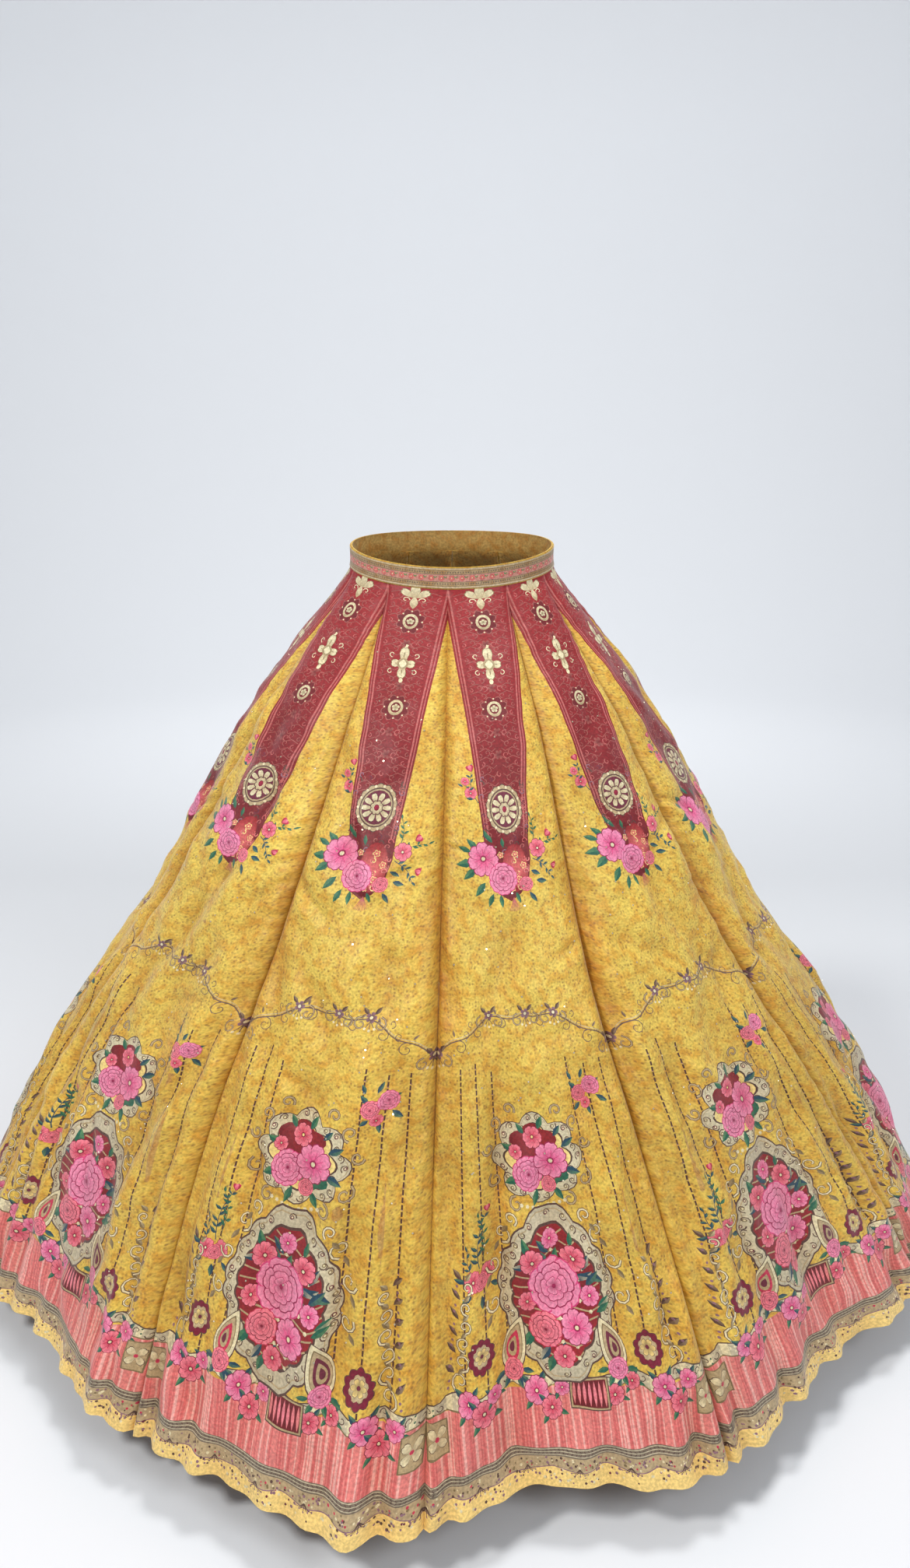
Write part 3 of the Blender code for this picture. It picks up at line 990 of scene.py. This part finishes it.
def drawBraid():
    # three cords, each twisted
    top = hemBands["coralEnd"]
    level(top, hemBands["braidEnd"], "braid")
    for y in hemBands["cords"]:
        line([(-hemHalf, top + y), (hemHalf, top + y)], 0.9, "braidLight")
    x = -hemHalf
    while x < hemHalf:
        line([(x, top + 2.2), (x + 1.6, top + 4.0)], 0.7, "umber")
        line([(x + 1.6, top + 5.3), (x, top + 7.1)], 0.7, "umber")
        x += hemBands["cordTwist"]


def drawSpeckledStrip(luck):
    # floral strip with a scalloped lower edge over the paler hem, and a small tree in each scallop
    top, end, pitch = hemBands["braidEnd"], hemBands["stripEnd"], hemBands["scallop"]
    level(top, kaliLength * 1000 + 2, "hemGold")
    steps = int(2 * hemHalf / 3.2)
    upper = [(-hemHalf + 2 * hemHalf * k / steps, top) for k in range(steps + 1)]
    lower = [(x, end + 4.2 * abs(math.cos(math.pi * x / pitch)) - 1.5) for x, _ in upper]
    for k in range(steps):
        mark([upper[k], upper[k + 1], lower[k + 1], lower[k]], "beige")
    line(lower, 1.0, "mauve")
    for k in range(hemBands["specks"]):
        x = luck.uniform(-hemHalf, hemHalf)
        y = luck.uniform(top + 1.5, end - 0.5)
        radius = luck.uniform(0.8, 1.7)
        dots([(x, y)], radius, luck.choice(("mauve", "umber", "cream", "rose", "mauve", "olive")))
    for k in range(hemBands["vineDots"]):
        x, y = luck.uniform(-hemHalf, hemHalf), end + 2 + 13 * luck.random() ** 1.5
        if abs((x / pitch) % 1 - 0.5) < 0.42:
            radius = luck.uniform(0.9, 1.8)
            dots([(x, y)], radius, luck.choice(("mauve", "umber", "cream", "mauve", "plum", "cream")))
    x = -hemHalf + 10
    while x < hemHalf:
        centre, y = round(x / pitch) * pitch, end + 1.5
        for reach in (-9, -5, 0, 5, 9):
            tip = (centre + reach, y + 5 - abs(reach) * 0.25)
            line([(centre, y - 3), (centre + reach * 0.5, y + 2), tip], 1.0, "umber", 0.5)
            dots([tip], 1.0, "mauve")
        x += pitch


def drawHem():
    luck = random.Random(31)
    drawStripes(luck)
    drawLaceRibbon(luck)
    drawHemSprays()
    drawPanels()
    drawBraid()
    drawSpeckledStrip(luck)


print("kali length", round(kaliLength, 4))
drawStitchLines()
drawGarland()
drawStrip()
drawBouquet()
drawSideSprigs()
drawSeamSprays()
drawHem()
drawUpperMedallion()
drawLowerMedallion()
drawPaisleys()
print("print drawn:", len(marks), "marks")


# Any print is cut into triangles once, flat, and then laid on its cloth.
def triangulate(loosePoints, edges, polygons, kind):
    # y is turned up, so that the triangles wind anticlockwise seen from outside
    coords, faces = [], []
    for points in polygons:
        up = [(x, -y) for x, y in points]
        if sum(a[0] * b[1] - b[0] * a[1] for a, b in zip(up, up[1:] + up[:1])) < 0:
            up.reverse()
        faces.append(list(range(len(coords), len(coords) + len(up))))
        coords += up
    start = len(coords)
    coords += [(x, -y) for x, y in loosePoints]
    edges = [(a + start, b + start) for a, b in edges]
    result = delaunay_2d_cdt([Vector(p) for p in coords], edges, faces, kind, 1e-4, True)
    places = np.array([tuple(p) for p in result[0]]) * (1, -1)
    owners = {given: new for new, group in enumerate(result[3]) for given in group}
    return places, result[2], result[5], owners


def sidesOf(triangles):
    return np.concatenate([triangles[:, [0, 1]], triangles[:, [1, 2]], triangles[:, [2, 0]]])


def visibleLines(places, triangles, tops):
    # the lines where the topmost mark changes, less the points along their straight runs
    order = np.sort(sidesOf(triangles), axis=1)
    owners = np.tile(tops, 3)
    key = order[:, 0] * len(places) + order[:, 1]
    rank = np.argsort(key, kind="stable")
    key, owners, order = key[rank], owners[rank], order[rank]
    first = np.flatnonzero(np.r_[True, key[1:] != key[:-1]])
    last = np.r_[first[1:], len(key)] - 1
    border = first == last
    kept = order[first][border | (owners[first] != owners[last])]
    fixed = set(order[first][border].ravel().tolist())
    near = {}
    for a, b in kept.tolist():
        near.setdefault(a, set()).add(b)
        near.setdefault(b, set()).add(a)
    for v in list(near):
        if v in fixed or len(near[v]) != 2:
            continue
        a, b = near[v]
        ab, av = places[b] - places[a], places[v] - places[a]
        length = math.hypot(*ab)
        along = (ab @ av) / max(length, 1e-9)
        if b in near[a] or not 0 < along < length or abs(ab[0] * av[1] - ab[1] * av[0]) > 0.035 * length:
            continue
        near[a].remove(v)
        near[b].remove(v)
        near[a].add(b)
        near[b].add(a)
        del near[v]
    points = [tuple(places[v]) for v in near]
    number = {v: k for k, v in enumerate(near)}
    edges = []
    for a, b in [(a, b) for a in near for b in near[a] if a < b]:
        # a long line is split, so that it follows the curved cloth
        count = max(1, math.ceil(math.dist(places[a], places[b]) / 7.0))
        steps = [number[a]] + list(range(len(points), len(points) + count - 1)) + [number[b]]
        points += [tuple(places[a] + (places[b] - places[a]) * k / count) for k in range(1, count)]
        edges += zip(steps, steps[1:])
    return points, edges


def borderLoop(triangles):
    sides = sidesOf(triangles).tolist()
    there = set(map(tuple, sides))
    following = {a: b for a, b in sides if (b, a) not in there}
    loop = [next(iter(following))]
    while len(loop) < len(following):
        loop.append(following[loop[-1]])
    assert following[loop[-1]] == loop[0] and len(set(loop)) == len(loop), "the cut has a hole"
    return loop


def cutCloth(outline, drawn, fineGrid, coarseGrid, groundInk, backInk):
    ground = {
        "points": outline, "inner": ink(groundInk), "outer": ink(groundInk),
        "centre": (0, 0), "radius": 1.0, "ground": 1.0,
    }
    layers = [ground] + drawn
    places, faces, sources, _ = triangulate([], [], [m["points"] for m in layers], 0)
    # a mark whose outline crosses itself can spill over the cloth, and is passed over
    a, b, c = (places[np.array(faces)[:, k]] for k in range(3))
    sizes = np.abs((b - a)[:, 0] * (c - a)[:, 1] - (b - a)[:, 1] * (c - a)[:, 0]) / 2
    covered = np.zeros(len(layers))
    for size, owners in zip(sizes, sources):
        covered[owners] += size
    allowed = np.array([1.5 * m.get("size", 1e9) + 1 for m in layers])
    spilt = set(np.flatnonzero(covered > allowed).tolist())
    print("marks that spill:", len(spilt), "of", len(layers))
    kept = [(f, max(k for k in s if k not in spilt)) for f, s in zip(faces, sources) if 0 in s]
    triangles, tops = np.array([f for f, _ in kept]), np.array([s for _, s in kept])
    finder = BVHTree.FromPolygons([(x, y, 0) for x, y in places], triangles.tolist())
    points, edges = visibleLines(places, triangles, tops)
    places, faces, sources, _ = triangulate(points + fineGrid, edges, [outline], 0)
    triangles = np.array([f for f, s in zip(faces, sources) if s])
    owners = [finder.find_nearest((x, y, 0))[2] for x, y in places[triangles].mean(axis=1)]
    tops = tops[owners]
    # colours at each corner, shaded from a mark's centre outwards
    inner, outer = (np.array([m[end] for m in layers])[tops][:, None] for end in ("inner", "outer"))
    centre = np.array([m["centre"] for m in layers])[tops][:, None]
    radius = np.array([m["radius"] for m in layers])[tops][:, None, None]
    away = np.linalg.norm(places[triangles] - centre, axis=2)[..., None] / radius
    shades = inner + (outer - inner) * np.clip(away, 0, 1)
    onGround = np.array([m["ground"] for m in layers])[tops][:, None, None]
    shades = np.concatenate([shades, np.broadcast_to(onGround, shades.shape[:2] + (1,))], axis=2)
    loop = borderLoop(triangles)
    rim = [tuple(places[v]) for v in loop]
    backPlaces, faces, sources, owners = triangulate(coarseGrid, [], [rim], 0)
    backTriangles = np.array([f for f, s in zip(faces, sources) if s])
    # triangulate may have turned the outline round
    step = [owners[k] for k in range(len(rim))]
    if not np.allclose(backPlaces[step[0]], rim[0]):
        step.reverse()
    return {
        "places": places / 1000, "triangles": triangles, "shades": shades, "loop": np.array(loop),
        "backPlaces": backPlaces / 1000, "backTriangles": backTriangles, "backLoop": np.array(step),
        "back": (*ink(backInk), 1.0),
    }


def addPiece(name, mesh, material):
    mesh.materials.append(material)
    piece = bpy.data.objects.new(name, mesh)
    bpy.context.scene.collection.objects.link(piece)
    return piece


def meshOf(name, shape):
    mesh = bpy.data.meshes.new(name)
    shape.to_mesh(mesh)
    shape.free()
    return mesh


def layCloth(name, cut, surface, wallAt, material, paintedShadeAt=None):
    # surface gives the points of the outer face and its normals for flat x and y, in metres
    front, frontNormals = surface(cut["places"][:, 0], cut["places"][:, 1])
    back, backNormals = surface(cut["backPlaces"][:, 0], cut["backPlaces"][:, 1])
    back = back - backNormals * wallAt(cut["backPlaces"][:, 1])[:, None]
    shift = len(front)
    points = np.concatenate([front, back])
    a, b = cut["loop"], np.roll(cut["loop"], -1)
    c, d = cut["backLoop"] + shift, np.roll(cut["backLoop"], -1) + shift
    rim = np.concatenate([np.stack([b, a, c], axis=1), np.stack([b, c, d], axis=1)])
    inside = cut["backTriangles"][:, ::-1]
    triangles = np.concatenate([cut["triangles"], inside + shift, rim])
    edge = np.cross(points[rim[:, 1]] - points[rim[:, 0]], points[rim[:, 2]] - points[rim[:, 0]])
    edge /= np.maximum(np.linalg.norm(edge, axis=1, keepdims=True), 1e-12)
    rimNormals = np.repeat(edge[:, None], 3, axis=1)
    normals = np.concatenate([frontNormals[cut["triangles"]], -backNormals[inside], rimNormals])
    flat = np.concatenate([cut["places"], cut["backPlaces"]])[triangles.ravel()]
    frontCount = len(cut["triangles"])
    shades = np.empty((len(triangles), 3, 4))
    shades[:frontCount] = cut["shades"]
    # painted shade and light from the folds, multiplied into the print's colours on the outer face
    if paintedShadeAt:
        tone = paintedShadeAt(cut["places"][:, 0], cut["places"][:, 1])
        shades[:frontCount, :, :3] *= tone[cut["triangles"]]
    shades[frontCount:] = cut["back"]
    shades[frontCount + len(inside):] = (*ink("silk"), 1.0)
    mesh = bpy.data.meshes.new(name)
    mesh.vertices.add(len(points))
    mesh.vertices.foreach_set("co", points.ravel())
    mesh.loops.add(3 * len(triangles))
    mesh.loops.foreach_set("vertex_index", triangles.ravel())
    mesh.polygons.add(len(triangles))
    mesh.polygons.foreach_set("loop_start", np.arange(0, 3 * len(triangles), 3))
    mesh.update(calc_edges=True)
    mesh.shade_smooth()
    mesh.uv_layers.new(name="flat").data.foreach_set("uv", flat.ravel())
    mesh.color_attributes.new("ink", "FLOAT_COLOR", "CORNER").data.foreach_set("color", shades.ravel())
    mesh.normals_split_custom_set(normals.reshape(-1, 3).tolist())
    return addPiece(name, mesh, material)


# Materials
def addNode(tree, kind, settings=None, **inputs):
    node = tree.nodes.new(kind)
    for key, value in (settings or {}).items():
        setattr(node, key, value)
    for key, value in inputs.items():
        socket = node.inputs[int(key[1:])] if key[0] == "i" and key[1:].isdigit() else node.inputs[key]
        if isinstance(value, bpy.types.NodeSocket):
            tree.links.new(value, socket)
        else:
            socket.default_value = value
    return node


def times(tree, first, second):
    return addNode(tree, "ShaderNodeMath", {"operation": "MULTIPLY"}, i0=first, i1=second).outputs[0]


def noise(tree, where, scale, detail):
    return addNode(tree, "ShaderNodeTexNoise", Vector=where, Scale=scale, Detail=detail).outputs[0]


def spread(tree, value, low, high, toLow, toHigh):
    node = addNode(tree, "ShaderNodeMapRange", {}, Value=value)
    for key, number in (("From Min", low), ("From Max", high), ("To Min", toLow), ("To Max", toHigh)):
        node.inputs[key].default_value = number
    return node.outputs["Result"]


def tint(tree, factor, first, second, blend="MIX"):
    node = addNode(tree, "ShaderNodeMix", {"data_type": "RGBA", "blend_type": blend})
    for index, value in ((0, factor), (6, first), (7, second)):
        if isinstance(value, bpy.types.NodeSocket):
            tree.links.new(value, node.inputs[index])
        else:
            node.inputs[index].default_value = value
    return node.outputs[2]


# The dye's own unevenness; scales are patterns to a metre
dye = {
    "broad": 7.0,
    "mottle": 80.0,
    "grain": 330.0,
    "threads": 620.0,
    "crumple": 34.0,
    "bands": (24.0, 3.4, 1.0),
    "specks": 235.0,
    "mottleTint": (0.86, 0.62, 0.36, 1.0),
    "bandTint": (0.93, 0.70, 0.46, 1.0),
    "speckColour": (0.25, 0.11, 0.03, 1.0),
}


def clothMaterial(name, specks, roughness, weave):
    material = bpy.data.materials.new(name)
    material.use_nodes = True
    tree = material.node_tree
    shader = tree.nodes["Principled BSDF"]
    flat = addNode(tree, "ShaderNodeUVMap", {"uv_map": "flat"}).outputs["UV"]
    printed = addNode(tree, "ShaderNodeAttribute", {"attribute_name": "ink"})
    place = addNode(tree, "ShaderNodeTexCoord").outputs["Object"]
    broad = noise(tree, place, dye["broad"], 3.0)
    mottle = noise(tree, flat, dye["mottle"], 4.0)
    grain = noise(tree, flat, dye["grain"], 3.0)
    fine = noise(tree, flat, dye["threads"], 2.0)
    ground = printed.outputs["Alpha"]
    deeper = tint(tree, 1.0, printed.outputs["Color"], dye["mottleTint"], "MULTIPLY")
    patchy = times(tree, spread(tree, mottle, 0.44, 0.64, 0.0, 0.80), ground)
    colour = tint(tree, patchy, printed.outputs["Color"], deeper)
    if specks:
        # long soft bands of deeper dye, and small brown specks
        stretched = addNode(tree, "ShaderNodeMapping", {}, Vector=flat, Scale=dye["bands"]).outputs[0]
        banded = times(tree, spread(tree, noise(tree, stretched, 1.0, 2.0), 0.50, 0.68, 0.0, 0.48), ground)
        colour = tint(tree, banded, colour, tint(tree, 1.0, colour, dye["bandTint"], "MULTIPLY"))
        spots = addNode(tree, "ShaderNodeTexVoronoi", {}, Vector=flat, Scale=dye["specks"], Randomness=0.8)
        dark = spread(tree, spots.outputs["Distance"], 0.14, 0.44, 0.66, 0.0)
        colour = tint(tree, times(tree, dark, ground), colour, dye["speckColour"])
    clouds, grains = spread(tree, broad, 0.3, 0.7, 0.90, 1.06), spread(tree, grain, 0.36, 0.64, 0.76, 1.12)
    light = times(tree, clouds, grains)
    grey = addNode(tree, "ShaderNodeCombineColor", {}, Red=light, Green=light, Blue=light).outputs[0]
    colour = tint(tree, 1.0, colour, grey, "MULTIPLY")
    tree.links.new(colour, shader.inputs["Base Color"])
    shader.inputs["Roughness"].default_value = roughness
    shader.inputs["Specular IOR Level"].default_value = 0.35
    shader.inputs["Sheen Weight"].default_value = 0.18
    shader.inputs["Sheen Roughness"].default_value = 0.4
    # crumples, then mottling, then the threads of the weave
    crumple = noise(tree, flat, dye["crumple"], 3.0)
    normal = addNode(tree, "ShaderNodeBump", Strength=0.6, Distance=0.0045, Height=crumple).outputs[0]
    for strength, distance, height in ((0.5, 0.0014, mottle), (weave, 0.0004, fine)):
        normal = addNode(tree, "ShaderNodeBump", Strength=strength, Distance=distance, Height=height,
                         Normal=normal).outputs[0]
    tree.links.new(normal, shader.inputs["Normal"])
    return material


def plainMaterial(name, colour, roughness, metallic=0.0):
    material = bpy.data.materials.new(name)
    material.use_nodes = True
    shader = material.node_tree.nodes["Principled BSDF"]
    shader.inputs["Base Color"].default_value = (*colour, 1.0)
    shader.inputs["Roughness"].default_value = roughness
    shader.inputs["Metallic"].default_value = metallic
    return material


# The twelve kalis: their walls, and the points that let each one bend
kaliCloth = {
    "wall": 0.0021,
    "hemTurn": 0.024,
    "hemThicker": 0.0006,
    "sideSteps": 132,
    "hemSteps": 56,
    "topSteps": 8,
    "outerPitch": 8.0,
    "outerColumns": (2.5, 5.5, 9, 14, 21, 30, 41, 55, 70, 86, 104, 122, 140, 158),  # from the seam
    "innerPitch": 9.0,
    "innerColumns": (2.5, 6, *range(11, 176, 6)),
}


def kaliOutline():
    rows = np.linspace(0.0, kaliLength, kaliCloth["sideSteps"])
    right = [(float(halfAt(y)) * 1000, y * 1000) for y in rows]
    wide, narrow = right[-1][0], right[0][0]
    low, high = kaliCloth["hemSteps"], kaliCloth["topSteps"]
    bottom = [(wide * (1 - 2 * k / low), kaliLength * 1000) for k in range(1, low)]
    top = [(-narrow + 2 * narrow * k / high, 0.0) for k in range(1, high)]
    return right + bottom + [(-x, y) for x, y in reversed(right)] + top


def kaliGrid(pitch, distances):
    # denser towards the two seams
    points = []
    for y in np.arange(pitch, kaliLength * 1000 - pitch / 2, pitch):
        half = float(halfAt(y / 1000)) * 1000
        for away in distances:
            if half - away > pitch * 0.4:
                points += [(half - away, y), (away - half, y)]
        points.append((0.0, y))
    return points


def kaliWall(y):
    # the hem is turned up, so it is thicker there
    inTurn = smoothStep((y - (kaliLength - kaliCloth["hemTurn"])) / 0.003)
    return kaliCloth["wall"] + kaliCloth["hemThicker"] * inTurn


kaliCut = cutCloth(
    kaliOutline(), marks,
    kaliGrid(kaliCloth["outerPitch"], kaliCloth["outerColumns"]),
    kaliGrid(kaliCloth["innerPitch"], kaliCloth["innerColumns"]), "silk", "silkBack",
)
print("kali cut:", len(kaliCut["triangles"]), "triangles outside,", len(kaliCut["backTriangles"]), "inside")

printedSilk = clothMaterial("printed silk", True, 0.50, 0.5)
for index in range(len(seams)):
    node = f"kali_{index + 1:02d}"

    def surface(x, y, index=index):
        return kaliSurface(index, x, y), surfaceNormals(index, x, y)

    # painted fold shade and light for this kali: darker in its sunk folds, lighter where proud
    def tone(x, y, index=index):
        return paintFoldShade(index, x, y)
    kali = layCloth("cloth_" + node, kaliCut, surface, kaliWall, printedSilk, tone)
    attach(kali, "root")
    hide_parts(node)
print("kalis laid")

# The waistband's two halves and the woven lace ribbon on them
waist = {
    "gap": 0.0003,
    "cloth": 0.002,
    "ease": 0.00035,
    "ribbonMargin": 0.0012,
    "ribbonProud": 0.0003,
    "ribbonWall": 0.0012,
}
halfGap = math.degrees(waist["gap"] / 2 / form["waistHalfDepth"])
turnSteps = np.linspace(-90 + halfGap, 90 - halfGap, 721)
midBand = skirtPoint(turnSteps, np.full(len(turnSteps), form["bandHeight"] / 2), 0.0)
bandSteps = np.concatenate([[0.0], np.cumsum(np.linalg.norm(np.diff(midBand, axis=0), axis=1))])
bandLength = float(bandSteps[-1])
bandSteps -= bandLength / 2


def bandSurface(centre, proud, margin):
    def place(x, y):
        bearing = np.interp(x, bandSteps, turnSteps)
        drop = margin + y
        between = np.sin(math.pi * np.clip(drop / form["bandHeight"], 0, 1))
        ease = waist["ease"] * np.sin(x * 95 + centre) * np.sin(x * 41 + 1.3) * between
        return skirtPoint(centre + bearing, drop, -proud - ease)

    def surface(x, y):
        step, half, height = 0.0008, bandLength / 2, form["bandHeight"] - 2 * margin
        across = place(np.minimum(x + step, half), y) - place(np.maximum(x - step, -half), y)
        up = place(x, np.maximum(y - step, 0.0)) - place(x, np.minimum(y + step, height))
        normal = np.cross(across, up)
        return place(x, y), normal / np.linalg.norm(normal, axis=1, keepdims=True)
    return surface


def stripOutlineFor(height, pitch=3.0):
    half = bandLength * 500
    count = int(2 * half / pitch)
    top = [(-half + 2 * half * k / count, 0.0) for k in range(count + 1)]
    return top + [(half, height / 2)] + [(x, height) for x, _ in reversed(top)] + [(-half, height / 2)]


def bandGrid(height, rows, pitch):
    half = bandLength * 500 - pitch
    levels = [height * k / (rows + 1) for k in range(1, rows + 1)]
    return [(x, y) for x in np.arange(-half, half + 0.1, pitch) for y in levels]


def drawRibbon(height):
    # woven beige lace with a coral flower line between pale edges
    half = bandLength * 500
    middle = height / 2
    for y0, y1, colour in (
        (0.6, 2.2, "ribbonPale"), (2.6, 3.2, "olive"), (height - 2.2, height - 0.6, "ribbonPale"),
        (height - 3.2, height - 2.6, "olive"), (middle - 4.4, middle + 4.4, "ribbonRose"),
        (middle - 5.0, middle - 4.4, "braid"), (middle + 4.4, middle + 5.0, "braid"),
    ):
        mark(box(-half, y0, half, y1), colour)
    count = int(2 * half / 13.0)
    for k in range(count):
        x = -half + 2 * half * (k + 0.5) / count
        for j in range(5):
            petal(x, middle, 1.2566 * j + 0.3, 3.8, 2.9, "coralDeep", "coral", "roseDeep")
        mark(oval(x, middle, 1.0, count=6), "cream")
        leaf(x + 5.2, middle, -0.9, 3.6, 1.7, "leafLight")
        leaf(x + 5.2, middle, 0.9 + math.pi, 3.6, 1.7, "leafLight")
        mark(oval(x + 6.5, middle, 0.9, count=5), "coralDeep")
        for y in (5.6, height - 5.6):
            for dx in (-4.9, -1.6, 1.6, 4.9):
                mark([(x + dx - 1.1, y), (x + dx, y - 1.3), (x + dx + 1.1, y), (x + dx, y + 1.3)], "braid")


bandSilk = clothMaterial("band silk", False, 0.55, 0.4)
laceCloth = clothMaterial("woven lace", False, 0.42, 0.9)
bandHeight = form["bandHeight"] * 1000
ribbonHeight = bandHeight - 2000 * waist["ribbonMargin"]
bandCut = cutCloth(stripOutlineFor(bandHeight), [], bandGrid(bandHeight, 5, 3.0),
                   bandGrid(bandHeight, 2, 9.0), "silk", "silkBack")
marks.clear()
drawRibbon(ribbonHeight)
ribbonCut = cutCloth(stripOutlineFor(ribbonHeight), list(marks), bandGrid(ribbonHeight, 4, 4.0),
                     bandGrid(ribbonHeight, 2, 9.0), "ribbon", "ribbon")
print("ribbon cut:", len(ribbonCut["triangles"]), "triangles")
for side, centre in (("front", 0.0), ("back", 180.0)):
    bandPiece = layCloth(f"cloth_waistband_{side}", bandCut, bandSurface(centre, 0.0, 0.0),
                         lambda y: np.full(len(y), waist["cloth"]), bandSilk)
    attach(bandPiece, "root")
    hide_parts(f"waistband_{side}")
    proud = waist["ribbonProud"] + waist["ribbonWall"]
    ribbon = layCloth(f"woven_lace_{side}", ribbonCut, bandSurface(centre, proud, waist["ribbonMargin"]),
                      lambda y: np.full(len(y), waist["ribbonWall"]), laceCloth)
    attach(ribbon, "root")
    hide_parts(f"waist_lace_{side}")
print("waistband and lace laid")

# Sequins sewn over the silk
sequins = {"radius": 0.0011, "thick": 0.0003, "perKali": 84, "sides": 7, "colour": (0.90, 0.80, 0.58)}


def makeSequins():
    luck = random.Random(2025)
    disc = bmesh.new()
    for index in range(len(seams)):
        x, y = [], []
        while len(x) < sequins["perKali"]:
            down = luck.uniform(0.10, kaliLength - 0.14)
            half = float(halfAt(down))
            if luck.random() < half / 0.18:
                x.append(luck.uniform(-0.88, 0.88) * half)
                y.append(down)
        x, y = np.array(x), np.array(y)
        for place, normal in zip(kaliSurface(index, x, y), surfaceNormals(index, x, y)):
            lean = Vector(normal) + Vector([luck.uniform(-0.08, 0.08) for _ in range(3)])
            turn = lean.to_track_quat("Z", "Y").to_matrix().to_4x4()
            shift = Matrix.Translation(Vector(place) + Vector(normal) * (sequins["thick"] / 2 + 0.00015))
            bmesh.ops.create_cone(
                disc, cap_ends=True, segments=sequins["sides"], radius1=sequins["radius"],
                radius2=sequins["radius"] * 0.9, depth=sequins["thick"], matrix=shift @ turn,
            )
    return addPiece("sequins", meshOf("sequins", disc), plainMaterial("sequin", sequins["colour"], 0.22, 0.9))


sewnSequins = makeSequins()
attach(sewnSequins, "root")
print("sequins sewn")

# Floor and backdrop: one pale bowl that rounds up from the floor
studio = {"floor": -1.005, "flat": 4.5, "cove": 3.5, "wall": 3.0, "paper": (0.80, 0.82, 0.85)}


def makeBackdrop():
    floor, flat, cove = studio["floor"], studio["flat"], studio["cove"]
    profile = [(0.001, floor), (flat / 2, floor), (flat, floor)]
    for k in range(1, 13):
        a = math.pi / 2 * k / 12
        profile.append((flat + cove * math.sin(a), floor + cove * (1 - math.cos(a))))
    profile.append((flat + cove, floor + cove + studio["wall"]))
    bowl = bmesh.new()
    ring = [bowl.verts.new((r, 0, z)) for r, z in profile]
    lines = [bowl.edges.new(pair) for pair in zip(ring, ring[1:])]
    bmesh.ops.spin(bowl, geom=ring + lines, cent=(0, 0, 0), axis=(0, 0, 1), angle=2 * math.pi, steps=72)
    bmesh.ops.remove_doubles(bowl, verts=bowl.verts, dist=1e-4)
    bmesh.ops.recalc_face_normals(bowl, faces=bowl.faces)
    bmesh.ops.reverse_faces(bowl, faces=bowl.faces)
    mesh = meshOf("backdrop", bowl)
    mesh.shade_smooth()
    return addPiece("backdrop", mesh, plainMaterial("backdrop paper", studio["paper"], 0.75))


makeBackdrop()
print("backdrop made")


# Four soft round lamps, in metres and watts
lamps = {
    "key": {
        "place": (-2.3, -2.0, 2.7), "aim": (0, 0, -0.5), "size": 0.7, "power": 92, "tone": (1.0, 0.985, 0.96),
    },
    "fill": {
        "place": (2.0, -2.7, 2.0), "aim": (0, 0, -0.6), "size": 1.5, "power": 56, "tone": (0.98, 0.99, 1.0),
    },
    "top": {
        "place": (0.5, 0.5, 3.4), "aim": (0, 0, -0.6), "size": 1.0, "power": 62, "tone": (1, 1, 1),
    },
    "backdrop": {
        "place": (0.0, 2.4, 2.6), "aim": (0, 8.0, 1.2), "size": 2.5, "power": 128, "tone": (1, 1, 1),
    },
}


def makeLamp(name, place, aim, size, power, tone):
    light = bpy.data.lights.new(name, "AREA")
    light.shape = "DISK"
    light.size = size
    light.energy = power
    light.color = tone
    lamp = bpy.data.objects.new(name, light)
    lamp.location = place
    lamp.rotation_euler = (Vector(aim) - Vector(place)).to_track_quat("-Z", "Y").to_euler()
    bpy.context.scene.collection.objects.link(lamp)


for name, settings in lamps.items():
    makeLamp(name, **settings)
world = bpy.data.worlds.new("studio")
world.use_nodes = True
sky = world.node_tree.nodes["Background"]
sky.inputs["Color"].default_value = (0.95, 0.97, 1.0, 1.0)
sky.inputs["Strength"].default_value = 0.33
bpy.context.scene.world = world
bpy.context.scene.view_settings.view_transform = "Standard"
print("lamps hung")

# The camera stands where the photograph was taken from, and looks a little down
view = {"place": (0.0042, -1.5925, 0.088), "down": 14.91, "lens": 26.6, "film": 36}
lens = bpy.data.cameras.new("camera")
lens.lens = view["lens"]
lens.sensor_width = view["film"]
lens.clip_end = 60
camera = bpy.data.objects.new("camera", lens)
camera.location = view["place"]
camera.rotation_euler = (math.radians(90 - view["down"]), 0, 0)
bpy.context.scene.collection.objects.link(camera)
bpy.context.scene.camera = camera
